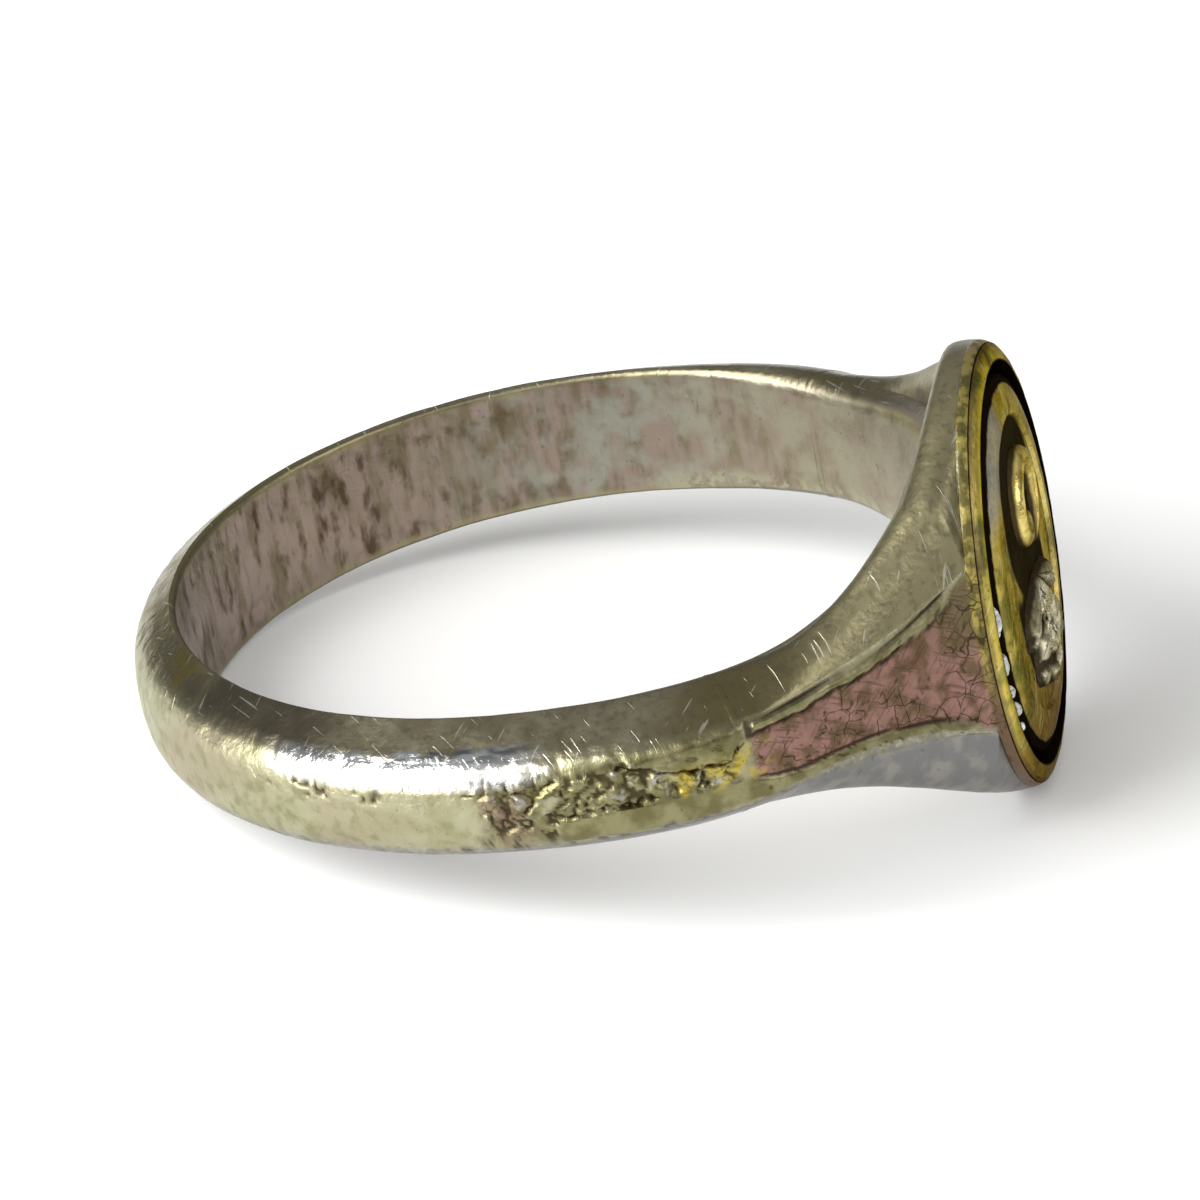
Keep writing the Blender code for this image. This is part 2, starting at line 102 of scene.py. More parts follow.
BORDER_RISE = 0.18
BORDER_BULGE = 0.62
LAND_WIDTH = 0.22
FIELD_DROP = 0.1
FIELD_STEP = 0.06
ORNAMENT_CLEARANCE = 0.01
SCROLL_CENTRE = (0.4, 1.3)
SCROLL_OUTER_RADIUS = 1.55
SCROLL_INNER_RADIUS = 0.45
SCROLL_SPAN = (math.radians(-60.0), math.radians(330.0))
SCROLL_HALF_WIDTH = 0.36
SCROLL_HEIGHT = 0.34
SCROLL_TAPER = 0.35
LEAF_ROOT = (0.1, -0.4)
LEAF_SPAN = (math.radians(-172.0), math.radians(-8.0))
LEAF_REACH = 2.95
LEAF_SIDE_REACH = 2.0
LEAF_HEIGHT = 0.55
LEAF_LOBES = 5
LEAF_LOBE_DEPTH = 0.3
LEAF_LOBE_POWER = 0.7
LEAF_FOLD_SHARE = 0.5
LEAF_ROOT_RISE = 0.4
LEAF_SIDE_RISE = 0.3
CRUMBS = (
    (math.radians(172.5), 0.42, 0.17),
    (math.radians(186.0), 0.33, 0.15),
    (math.radians(195.5), 0.19, 0.13),
    (math.radians(202.5), 0.24, 0.16),
    (math.radians(211.0), 0.15, 0.11),
)
CRUMB_CLEARANCE = 0.05
CRUMB_BELOW_LIP = 0.06
CRUMB_RIPPLE = 0.12
CRUMB_RIPPLE_RATE = 5.0
CROWN_FADE = 0.6
CREASE_FADE = 0.7
SIDE_FADE = 0.9
EDGE_FADE_END = 1.5
EDGE_FADE = 0.6

# ---- detail that only this model has, in mm

# How much of the joint's clearance the drawn solder fills, so that no slit shows
FILLED_SHARE = 0.9
SCROLL_GROOVE = 0.3
SCROLL_GROOVE_PLACE = -0.25
SCROLL_GROOVE_WIDTH = 0.16
LEAF_CREASE = 0.45
LEAF_CREASE_WIDTH = 0.12
LEAF_RIB = 0.22
LEAF_RIB_WIDTH = 0.16
LEAF_VEIN = 0.16
LEAF_VEIN_RATE = 34.0
LEAF_VEIN_SLANT = 0.3
LEAF_HOLE_DEPTH = 0.12

# Where the wear lies, in degrees round the finger from the middle of the head
JOINT_LINE = 56.4
RIDGE_BREAK = 56.6
JOINT_MIDDLE = 57.4
FACET_END = (57.0, 55.5)
RIDGE_SPAN = (26.0, 73.0)
FLAP_START = (56.0, 60.0)
FLAP_END = (73.0, 64.0)
STRIP_SPAN = (25.0, 80.2)
STRIP_WIDENS = (62.0, 48.0)
STRIP_LINE_END = 56.0
TORN_SPAN = (58.5, 90.5)
TORN_PINK = (80.0, 87.0)
TEARS_SPAN = (87.0, 118.0)
POLISH_SPAN = (83.0, 117.0)
NIBBLE_START = (60.0, 66.0)
FOOT_LINE_SPAN = (60.0, 96.0)
YELLOW_SPAN = (54.5, 66.0)

# How far the wear stands up or sinks in
WIDE_WAVE = 0.035
MEDIUM_WAVE = 0.012
RIDGE_RISE = 0.07
FLAP_RISE = 0.05
LINE_DEPTH = 0.05
STRIP_RISE = 0.06
BLISTER_SLOPE = 0.36
BLISTER_TOP = 0.4
BLISTER_BASE = 0.07
FLAKE_RISE = 0.05
TEAR_DEPTH = 0.06
NIBBLE_DEPTH = 0.045
JOINT_SHARE = 0.25

# ---- mesh fineness

RIM_STEPS_FACET = 16
RIM_STEPS_FLANK = 44
SHOULDER_STEPS = 84
BAND_STEPS = 640
BORE_STEPS = 14
EDGE_STEPS = 4
SIDE_STEPS = 20
CREASE_STEPS = 4
NOSE_STEPS = 8
PLAQUE_STEPS = 16
SCROLL_STEPS = 130
SCROLL_SIDES = 22
LEAF_STEPS_PER_LOBE = 24
LEAF_RINGS = 34
CRUMB_STEPS = 18
CRUMB_SIDES = 20
PLAQUE_EDGE_STEPS = 6
PLAQUE_BORDER_STEPS = 8
COLLAR_WALL_SHARES = (0.15, 0.5, 1.0)
WELD = 1e-4
SHARP_ANGLE = math.radians(50)


def ease(t):
    """Smooth step from 0 to 1."""
    t = min(1.0, max(0.0, t))
    return t * t * (3 - 2 * t)


def blend(a, b, t):
    return a + (b - a) * t


# ---- shape of the shank and the head

RIM_CORNER = math.asin(RIM_CREASE_HALF / RIM_HALF_HEIGHT)
CORNER_Y = RIM_HALF_WIDTH * math.cos(RIM_CORNER)
CORNER_ANGLE = math.atan2(CORNER_Y, RIM_X)
SHOULDER_RADIUS = BORE_RADIUS + SHOULDER_THICKNESS
FACET_RUN_X = RIM_X - SHOULDER_RADIUS * math.cos(FACET_START)
FACET_RUN_Y = SHOULDER_RADIUS * math.sin(FACET_START) - CORNER_Y
FACET_TURN = math.atan2(FACET_RUN_X, FACET_RUN_Y)
FACET_REACH = RIM_X * math.cos(FACET_TURN) + CORNER_Y * math.sin(FACET_TURN)

BORE, FLANK, OUTER = 0.0, 1.0, 2.0


def rim_point(phi):
    """Point on the widest outline of the head; phi 0 is its +Y end, 90 degrees its top."""
    return np.array([RIM_X, RIM_HALF_WIDTH * math.cos(phi), RIM_HALF_HEIGHT * math.sin(phi)])


def section(theta, below):
    """Sizes of the ring's cross-section at an angle theta (0 to pi) round the finger axis."""
    t = min(1.0, max(0.0, (FACET_START - theta) / (FACET_START - CORNER_ANGLE)))
    back = ease((theta - FACET_START) / (math.pi - FACET_START))
    head = ease((FACET_START - theta) / FACET_START)
    if theta < FACET_START:
        outline = FACET_REACH / math.cos(FACET_TURN - theta)
        outline -= FACET_SCOOP * math.sin(math.pi * t) / 2
    else:
        outline = BORE_RADIUS + blend(SHOULDER_THICKNESS, BACK_THICKNESS, back)
    crown = BACK_CROWN * ease((theta - FACET_START) / CROWN_FADE)
    crease_half = blend(SHOULDER_CREASE_HALF, RIM_CREASE_HALF, t**FACET_FLARE)
    if theta >= FACET_START:
        crease_half = blend(SHOULDER_CREASE_HALF, BACK_CREASE_HALF, back)
    past_crease = ease((theta - FACET_START) / CREASE_FADE)
    softness = blend(SHOULDER_CREASE_SOFTNESS, BACK_CREASE_SOFTNESS, past_crease)
    side_half = blend(SHOULDER_HALF_WIDTH, BACK_HALF_WIDTH, back)
    sweep = ease(1 - theta / JOINT_ANGLE) ** (LOWER_SWEEP if below else UPPER_SWEEP)
    drop = blend(SHOULDER_DROP, RIM_DROP, t)
    if theta >= FACET_START:
        drop = blend(SHOULDER_DROP, BACK_SIDE_DROP, ease((theta - FACET_START) / SIDE_FADE))
    past_edge = ease((EDGE_FADE_END - theta) / EDGE_FADE)
    return {
        "crease_radius": outline - crown,
        "crease_half": crease_half,
        "crown": crown,
        "softness": softness * (1 - t),
        "bore_half": blend(side_half, HEAD_HALF_WIDTH, head),
        "edge_round": blend(BACK_EDGE_ROUND, SHOULDER_EDGE_ROUND, past_edge),
        "flank_height": blend(side_half, RIM_HALF_HEIGHT, sweep),
        "drop": drop,
        "flare": t * t,
    }


def on_plane(theta, radius, z, zone):
    return (radius * math.cos(theta), radius * math.sin(theta), z, zone)


def side_points(theta, radius_out, z_out, sizes):
    """Upper half of one column: up the bore wall, round its edge, then out along the side face."""
    r = sizes["edge_round"]
    points = []
    for i in range(BORE_STEPS):
        z = (sizes["bore_half"] - r) * i / BORE_STEPS
        points.append(on_plane(theta, BORE_RADIUS, z, BORE))
    for i in range(EDGE_STEPS):
        turn = math.pi / 2 * i / EDGE_STEPS
        z = sizes["bore_half"] - r * (1 - math.sin(turn))
        points.append(on_plane(theta, BORE_RADIUS + r * (1 - math.cos(turn)), z, i / EDGE_STEPS))
    start = BORE_RADIUS + r
    last = 1 - sizes["softness"] / (radius_out - start)
    for i in range(SIDE_STEPS + 1):
        s = last * (1 - math.cos(math.pi * i / SIDE_STEPS)) / 2
        climb = (sizes["flank_height"] - sizes["bore_half"]) * (1 - (1 - s) ** FLANK_SWELL)
        fall = (sizes["flank_height"] - z_out) * s ** sizes["drop"]
        z = sizes["bore_half"] + climb - fall
        points.append(on_plane(theta, blend(start, radius_out, s), z, FLANK))
    return points


def facet_point(theta, v, sizes):
    """Point on the outer face at height v times the crease height."""
    z = sizes["crease_half"] * v
    radius = sizes["crease_radius"] + sizes["crown"] * (1 - v * v)
    x, y = on_plane(theta, radius, z, OUTER)[:2]
    rim_y = RIM_HALF_WIDTH * math.sqrt(1 - (z / RIM_HALF_HEIGHT) ** 2)
    corner_y = RIM_HALF_WIDTH * math.sqrt(1 - (sizes["crease_half"] / RIM_HALF_HEIGHT) ** 2)
    return (x, y + (rim_y - corner_y) * sizes["flare"], z, OUTER)


def soft_corner(before, corner, after, steps):
    """Points strictly between two ends of a corner rounded as one quadratic curve."""
    before, corner, after = np.array(before), np.array(corner), np.array(after)
    points = []
    for i in range(1, steps):
        t = i / steps
        points.append(tuple((1 - t) ** 2 * before + 2 * t * (1 - t) * corner + t * t * after))
    return points


def half_column(theta, below, grow=0.0):
    """Half of the closed section at theta, above the mid-plane, from the bore round to the outside."""
    sizes = section(theta, below)
    for name in ("crease_radius", "crease_half", "bore_half", "flank_height"):
        sizes[name] += grow
    side = side_points(theta, sizes["crease_radius"], sizes["crease_half"], sizes)
    top = 1 - sizes["softness"] / sizes["crease_half"]
    rows = []
    for k in range(RIM_STEPS_FACET, -1, -1):
        v = math.sin(RIM_CORNER * k / RIM_STEPS_FACET) / math.sin(RIM_CORNER)
        rows.append(facet_point(theta, top * v, sizes))
    return side + soft_corner(side[-1], facet_point(theta, 1.0, sizes), rows[0], CREASE_STEPS) + rows


def full_loop(theta, grow=0.0):
    """Closed loop of the section at any angle from 0 to 2 pi."""
    folded = theta if theta <= math.pi else 2 * math.pi - theta
    upper = np.array(half_column(folded, False, grow))
    lower = np.array(half_column(folded, True, grow))[-2:0:-1] * (1, 1, -1, 1)
    loop = np.concatenate([upper, lower])
    return loop if theta <= math.pi else loop * (1, -1, 1, 1)


def flank_column(phi, below):
    """Half of a column of the head that ends on the rim's outline at phi."""
    end = rim_point(phi)
    theta = math.atan2(end[1], end[0])
    sizes = section(theta, below)
    sizes["softness"] = 0.0
    return side_points(theta, math.hypot(end[0], end[1]), end[2], sizes)


def flank_phis():
    """Angles round the rim that the flank's columns end on, from the facet's corner to the top."""
    span = math.pi / 2 - RIM_CORNER
    return [RIM_CORNER + span * k / RIM_STEPS_FLANK for k in range(RIM_STEPS_FLANK + 1)]


def rim_phis():
    """Angles round the rim that the head's columns end on, one full turn."""
    quarter = [RIM_CORNER * k / RIM_STEPS_FACET for k in range(RIM_STEPS_FACET)]
    quarter += flank_phis()[:-1]
    phis = list(quarter)
    phis += [math.pi - a for a in [math.pi / 2] + quarter[:0:-1]]
    return phis + [a + math.pi for a in phis]


PHIS = np.array(rim_phis())


def oval(x, half_width, half_height, zone=OUTER):
    """One oval outline of the head, as rows of (x, y, z, zone)."""
    count = len(PHIS)
    y = half_width * np.cos(PHIS)
    z = half_height * np.sin(PHIS)
    return np.stack([np.full(count, x), y, z, np.full(count, zone)], 1)


def nose_row(q):
    """One outline of the rounded rim: q 0 is its widest, q 1 the edge of the opening."""
    x = RIM_X + (LIP_X - RIM_X) * math.sin(q * math.pi / 2)
    out = math.cos(q * math.pi / 2)
    half_width = blend(OPENING_HALF_WIDTH, RIM_HALF_WIDTH, out)
    return oval(x, half_width, blend(OPENING_HALF_HEIGHT, RIM_HALF_HEIGHT, out))


def well_row(x, outset):
    return oval(x, OPENING_HALF_WIDTH + outset, OPENING_HALF_HEIGHT + outset)


def plaque_row(x, inset):
    return well_row(x, -PLAQUE_GAP - inset)


def leaned(points):
    """The head leans a little: its foot stands forward of its top."""
    t = np.clip((points[:, 0] - LEAN_START) / (LEAN_FULL - LEAN_START), 0, 1)
    moved = points.copy()
    moved[:, 0] += HEAD_LEAN * points[:, 2] * t * t * (3 - 2 * t)
    return moved


# ---- smooth noise for the wear

TWIST = np.array(Matrix.Rotation(1.0, 3, Vector((1.0, 2.0, 3.0))))


def lattice(cell, seed):
    """A repeatable number from 0 to 1 for each whole cell."""
    mixed = np.sin(cell @ np.array([127.1, 311.7, 74.7]) + seed * 53.3) * 43758.5453
    return mixed - np.floor(mixed)


def noise(points, per_mm, seed):
    """Smooth value noise from 0 to 1."""
    scaled = points * per_mm
    cell = np.floor(scaled)
    part = scaled - cell
    part = part * part * (3 - 2 * part)
    total = np.zeros(len(points))
    for dx in (0, 1):
        for dy in (0, 1):
            for dz in (0, 1):
                weight = np.where(dx, part[:, 0], 1 - part[:, 0])
                weight = weight * np.where(dy, part[:, 1], 1 - part[:, 1])
                weight = weight * np.where(dz, part[:, 2], 1 - part[:, 2])
                total += weight * lattice(cell + (dx, dy, dz), seed)
    return total


def rough_noise(points, per_mm, seed, octaves=3):
    """Several sizes of noise added up, from 0 to 1."""
    total = np.zeros(len(points))
    share = 0.0
    for k in range(octaves):
        points = points @ TWIST
        total += noise(points, per_mm * 2.03**k, seed + 11 * k) / 2**k
        share += 1 / 2**k
    return total / share


def step(values, low, high):
    """0 below low, 1 above high, smooth between; low may be the larger."""
    t = np.clip((values - low) / (high - low), 0, 1)
    return t * t * (3 - 2 * t)


def inside(values, low, high, soft):
    return step(values, low - soft, low + soft) * step(values, high + soft, high - soft)


# ---- wear on the band and the head

class Places:
    """Where each point of the band or the head lies, and the noise that its wear follows."""

    def __init__(self, ring, zone):
        theta = np.arctan2(np.abs(ring[:, 1]), ring[:, 0])
        crease_half = np.array([section(t, False)["crease_half"] for t in theta])
        self.ring = ring
        self.degrees = np.degrees(theta)
        self.below_top = crease_half - ring[:, 2]
        self.above_foot = crease_half + ring[:, 2]
        self.near = step(ring[:, 1], 0.5, -0.5)
        self.bore = step(zone, 0.75, 0.25)
        self.outer = step(zone, 1.3, 1.7)
        self.facet = self.outer * step(self.degrees, *FACET_END)
        self.flap = step(self.degrees, *FLAP_START) * step(self.degrees, *FLAP_END)
        self.wide = rough_noise(ring, 0.55, 3)
        self.medium = rough_noise(ring, 1.7, 17)
        self.small = rough_noise(ring, 4.5, 29)


def crease_ridge(at):
    """A ragged ridge of plating along the upper crease, broken at the joint, and the lines beside it."""
    edge = 0.26 + 0.42 * at.flap + 0.16 * (at.medium - 0.5) + 0.12 * (at.small - 0.5)
    along = inside(at.degrees, RIDGE_SPAN[0], RIDGE_SPAN[1] + 6 * (at.medium - 0.5), 1.0)
    along = at.outer * along * step(np.abs(at.degrees - RIDGE_BREAK), 0.3, 0.8)
    ridge = along * inside(at.below_top, 0.03 * (1 - at.flap), edge, 0.04)
    lines = inside(at.below_top, -0.05, 0.02, 0.03) * (1 - 0.7 * at.flap)
    lines = along * (lines + inside(at.below_top, edge + 0.02, edge + 0.1, 0.03))
    across = at.outer * step(np.abs(at.degrees - JOINT_LINE), 0.7, 0.3)
    return ridge, lines + across * step(at.below_top, 0.5, 0.3)


def foot_strip(at):
    """A smooth strip of plating left along the lower crease, with a crisp end, and the line over it."""
    low = 0.1 + 0.2 * (at.small - 0.5)
    top = 0.78 - 0.46 * step(at.degrees, *STRIP_WIDENS) + 0.16 * (at.medium - 0.5)
    strip = at.outer * inside(at.degrees, *STRIP_SPAN, 0.3) * inside(at.above_foot, low, top, 0.03)
    line = at.outer * inside(at.degrees, STRIP_SPAN[0], STRIP_LINE_END, 1.0)
    return strip, line * inside(at.above_foot, top + 0.02, top + 0.09, 0.03)


def torn_plating(at, strip):
    """Blistered and torn plating on the near shoulder, between the two, and how far its blisters rise."""
    torn = inside(at.degrees, TORN_SPAN[0], TORN_SPAN[1] + 7 * (at.wide - 0.5), 1.5)
    torn = at.outer * at.near * torn * step(at.below_top, 0.02 + 0.5 * at.flap, 0.25 + 0.5 * at.flap)
    torn = torn * step(at.above_foot, 0.1, 0.3) * (1 - strip)
    return torn, np.abs(2 * rough_noise(at.ring * (1, 1, 0.8), 2.7, 41) - 1)


def curled_tears(at):
    """Curled tears further back, under the polished crease."""
    curls = np.abs(2 * rough_noise(at.ring * (1, 1, 0.6), 3.0, 47, 2) - 1)
    tears = at.outer * at.near * inside(at.degrees, *TEARS_SPAN, 4.0)
    tears = tears * inside(at.below_top, 0.35, 0.8, 0.12)
    return tears * step(curls, 0.13, 0.03) * step(at.wide, 0.28, 0.42)


def nibbled_creases(at):
    """Creases nibbled away here and there round the back."""
    nibble = inside(at.below_top, -0.12, 0.1, 0.08) + inside(at.above_foot, -0.12, 0.22, 0.08)
    return np.clip(nibble, 0, 1) * step(at.small, 0.5, 0.72) * step(at.degrees, *NIBBLE_START)


def body_relief(at, ridge, lines, strip, torn, blister, tears):
    """How far each point stands out in mm; little beside the joints, so that the solder still meets."""
    flakes = step(rough_noise(at.ring, 3.1, 57), 0.46, 0.54)
    relief = WIDE_WAVE * (at.wide - 0.5) + MEDIUM_WAVE * (at.medium - 0.5)
    relief += (RIDGE_RISE + FLAP_RISE * at.flap) * (0.6 + at.small) * ridge
    relief -= LINE_DEPTH * np.clip(lines, 0, 1)
    relief += STRIP_RISE * strip
    rise = BLISTER_SLOPE * np.minimum(blister, BLISTER_TOP) - BLISTER_BASE
    relief += torn * (rise + FLAKE_RISE * (flakes - 0.5))
    relief -= TEAR_DEPTH * tears
    relief -= NIBBLE_DEPTH * nibbled_creases(at)
    return relief * blend(JOINT_SHARE, 1.0, step(np.abs(at.degrees - JOINT_MIDDLE), 0.3, 1.2))


def rubbed_crease(at, tears):
    """The crease rubbed bright round the near back."""
    from_side = 0.8 * np.abs(np.hypot(at.ring[:, 0], at.ring[:, 1]) - 11.0)
    from_crease = np.where(at.outer > 0.5, at.below_top, from_side)
    polish = (1 - at.bore) * at.near * inside(at.degrees, *POLISH_SPAN, 4.0) * (at.ring[:, 2] > 0)
    return polish * step(from_crease + 0.3 * (at.small - 0.5), 0.4, 0.3) * (1 - tears)


def body_grime(at, lines, torn, blister, tears):
    """Dirt in the lines, tears and crevices, in hairs over the facet, and along the near side's foot."""
    crevice = torn * step(blister, 0.11, 0.03)
    hairs = step(np.abs(rough_noise(at.ring, 2.2, 71) - 0.5), 0.016, 0.003)
    hairs = 0.75 * at.facet * hairs * step(at.medium, 0.4, 0.55)
    foot_line = at.outer * at.near * inside(at.degrees, *FOOT_LINE_SPAN, 2.0)
    foot_line = foot_line * inside(at.above_foot, 0.0, 0.12, 0.05) * step(at.small, 0.45, 0.6)
    return np.clip(np.clip(lines, 0, 1) + crevice + tears + hairs + 0.7 * foot_line, 0, 1)


def body_wear(ring, zone):
    """Relief in mm and the masks that the silver alloy's material reads, from the ring's own places."""
    at = Places(ring, zone)
    ridge, lines = crease_ridge(at)
    strip, under = foot_strip(at)
    torn, blister = torn_plating(at, strip)
    tears = curled_tears(at)
    bare = at.facet * (1 - ridge) * (1 - strip)
    pink = bare * step(at.above_foot, 0.05, 0.2) * step(at.below_top, 0.0, 0.15)
    pink = np.clip(pink + 0.6 * torn * step(at.degrees, *TORN_PINK) * step(at.medium, 0.42, 0.6), 0, 1)
    yellow = at.outer * at.near * inside(at.degrees, *YELLOW_SPAN, 1.5) * (1 - 0.6 * ridge)
    yellow = yellow * inside(at.above_foot, 0.7, 1.5, 0.15) * step(rough_noise(ring, 2.2, 83), 0.42, 0.5)
    return body_relief(at, ridge, lines, strip, torn, blister, tears), {
        "bore": at.bore,
        "flank": np.clip(1 - at.bore - at.outer, 0, 1),
        "outer": at.outer,
        "pink": pink,
        "plating": np.clip(ridge + strip + torn * (1 - pink), 0, 1),
        "yellow": yellow,
        "grime": body_grime(at, lines + under, torn, blister, tears),
        "blisters": torn * step(blister, 0.16, 0.4),
        "polish": rubbed_crease(at, tears),
    }


# ---- meshes

def grid_faces(first, rows, columns, closed):
    faces = []
    for i in range(rows - 1):
        for j in range(columns if closed else columns - 1):
            k = (j + 1) % columns
            a = first + i * columns
            faces.append((a + j, a + k, a + columns + k, a + columns + j))
    return faces


def welded(points, faces):
    """Points at one place made one, and faces that collapse dropped."""
    keys = np.round(points[:, :3] / WELD).astype(np.int64)
    _, first, index = np.unique(keys, axis=0, return_index=True, return_inverse=True)
    index = index.reshape(-1)
    kept = []
    for face in faces:
        corners = []
        for corner in face:
            if index[corner] not in corners:
                corners.append(int(index[corner]))
        if len(corners) > 2:
            kept.append(tuple(corners))
    return points[first], kept


def ring_matrix():
    """Where the ring's own frame lies: the CAD record names the bore's middle and its axis."""
    bore = next(m for m in frame["record"]["mounts"] if m["name"] == "finger_bore")
    axis = Vector(bore["axis"])
    turn = Matrix.Rotation(math.atan2(axis.x, axis.z), 4, "Y")
    return Matrix.Translation(bore["pos_m"]) @ turn


RING = ring_matrix()


def add_object(name, data):
    thing = bpy.data.objects.new(name, data)
    bpy.context.scene.collection.objects.link(thing)
    return thing


def add_values(mesh, name, values):
    """A number or a vector kept at each point of a mesh, for its material to read."""
    kind, field = ("FLOAT", "value") if values.ndim == 1 else ("FLOAT_VECTOR", "vector")
    layer = mesh.attributes.new(name, kind, "POINT")
    layer.data.foreach_set(field, np.ascontiguousarray(values, np.float32).reshape(-1))


def make_piece(name, grids, caps, material, wear):
    """One closed piece from grids of (x, y, z, zone) points, worn by its own relief, over its CAD node."""
    points = []
    faces = []
    for rows, closed in grids:
        rows = np.asarray(rows, float)
        faces += grid_faces(len(points), rows.shape[0], rows.shape[1], closed)
        points += list(rows.reshape(-1, 4))
    for loop in caps:
        faces.append(tuple(range(len(points), len(points) + len(loop))))
        points += list(np.asarray(loop, float))
    points, faces = welded(np.array(points), faces)
    ring = points[:, :3]
    places = leaned(ring)
    mesh = bpy.data.meshes.new(name + "_visual")
    mesh.from_pydata([tuple(p) for p in places], [], faces)
    shape = bmesh.new()
    shape.from_mesh(mesh)
    bmesh.ops.recalc_face_normals(shape, faces=shape.faces)
    shape.to_mesh(mesh)
    shape.free()
    normals = np.zeros(len(points) * 3, np.float32)
    mesh.vertex_normals.foreach_get("vector", normals)
    relief, masks = wear(ring, points[:, 3])
    places = places + normals.reshape(-1, 3) * relief[:, None]
    mesh.vertices.foreach_set("co", (places * MM).astype(np.float32).reshape(-1))
    add_values(mesh, "ring_mm", ring)
    for mask, values in masks.items():
        add_values(mesh, mask, values)
    mesh.transform(RING)
    mesh.shade_smooth()
    mesh.set_sharp_from_angle(angle=SHARP_ANGLE)
    mesh.materials.append(material)
    piece = add_object(name + "_visual", mesh)
    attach(piece, "root")
    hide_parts(name)


def make_band(material):
    start = JOINT_ANGLE + (SOLDER_THICKNESS + 2 * JOINT_CLEARANCE) / SHOULDER_RADIUS
    span = 2 * math.pi - 2 * start
    loops = [full_loop(start + span * i / BAND_STEPS) for i in range(BAND_STEPS + 1)]
    make_piece("shank_band", [(loops, True)], [loops[0], loops[-1]], material, body_wear)


def make_joint_solder(name, side, material):
    width = SOLDER_THICKNESS + 2 * FILLED_SHARE * JOINT_CLEARANCE
    start = JOINT_ANGLE + (1 - FILLED_SHARE) * JOINT_CLEARANCE / SHOULDER_RADIUS
    bead = SOLDER_BEAD_SHARE
    loops = []
    for share, grow in ((0.0, 0.0), (bead, SOLDER_PROUD / 3), (1.0 - bead, SOLDER_PROUD / 3), (1.0, 0.0)):
        theta = start + share * width / SHOULDER_RADIUS
        loops.append(full_loop(theta, grow) * (1, side, 1, 1))
    make_piece(name, [(loops, True)], [loops[0], loops[-1]], material, body_wear)


def make_head(material):
    thetas = [blend(CORNER_ANGLE, JOINT_ANGLE, i / SHOULDER_STEPS) for i in range(SHOULDER_STEPS + 1)]
    grids = []
    for below in (False, True):
        shoulder = np.array([half_column(theta, below) for theta in thetas])
        flank = np.array([flank_column(phi, below) for phi in flank_phis()])
        for side in (1, -1):
            mirror = (1, side, -1 if below else 1, 1)
            grids.append((shoulder * mirror, False))
            grids.append((flank * mirror, False))
    ledge = nose_row(COLLAR_START)
    well = COLLAR_WALL + COLLAR_CLEARANCE
    rows = [nose_row(COLLAR_START * i / NOSE_STEPS) for i in range(NOSE_STEPS)]
    rows.append(ledge)
    rows.append(well_row(ledge[0][0], well))
    rows.append(well_row(LIP_X - WELL_DEPTH, well))
    grids.append((rows, True))
    caps = [rows[-1]]
    for side in (1, -1):
        caps.append(full_loop(JOINT_ANGLE) * (1, side, 1, 1))
    make_piece("head_casting", grids, caps, material, body_wear)


def metal_wear(amount, per_mm, seed):
    """Plain wear for a gilt or solder piece: a little relief in mm, and the place along its section."""
    def wear(ring, zone):
        return amount * (rough_noise(ring, per_mm, seed) - 0.5), {"along": zone}
    return wear


def make_collar(material):
    seat_x = nose_row(COLLAR_START)[0][0] + COLLAR_CLEARANCE
    floor_x = LIP_X - WELL_DEPTH + COLLAR_CLEARANCE
    rows = []
    for i in range(NOSE_STEPS + 1):
        row = nose_row(blend(COLLAR_START, 1.0, i / NOSE_STEPS))
        row[:, 0] = np.maximum(row[:, 0], seat_x)
        row[:, 3] = i / NOSE_STEPS
        rows.append(row)
    for share in COLLAR_WALL_SHARES:
        row = well_row(blend(LIP_X, floor_x, share), 0.0)
        row[:, 3] = 1 + share
        rows.append(row)
    rows.append(well_row(floor_x, COLLAR_WALL))
    rows.append(well_row(seat_x, COLLAR_WALL))
    rows.append(rows[0])
    wear = metal_wear(0.03, per_mm=1.6, seed=5)
    make_piece("bezel_collar", [(rows, True)], [], material, wear)


def bed_top_x():
    return LIP_X - WELL_DEPTH + BED_CLEARANCE + BED_THICKNESS


def field_x():
    return LIP_X - PLAQUE_EDGE_DROP + BORDER_RISE - FIELD_DROP


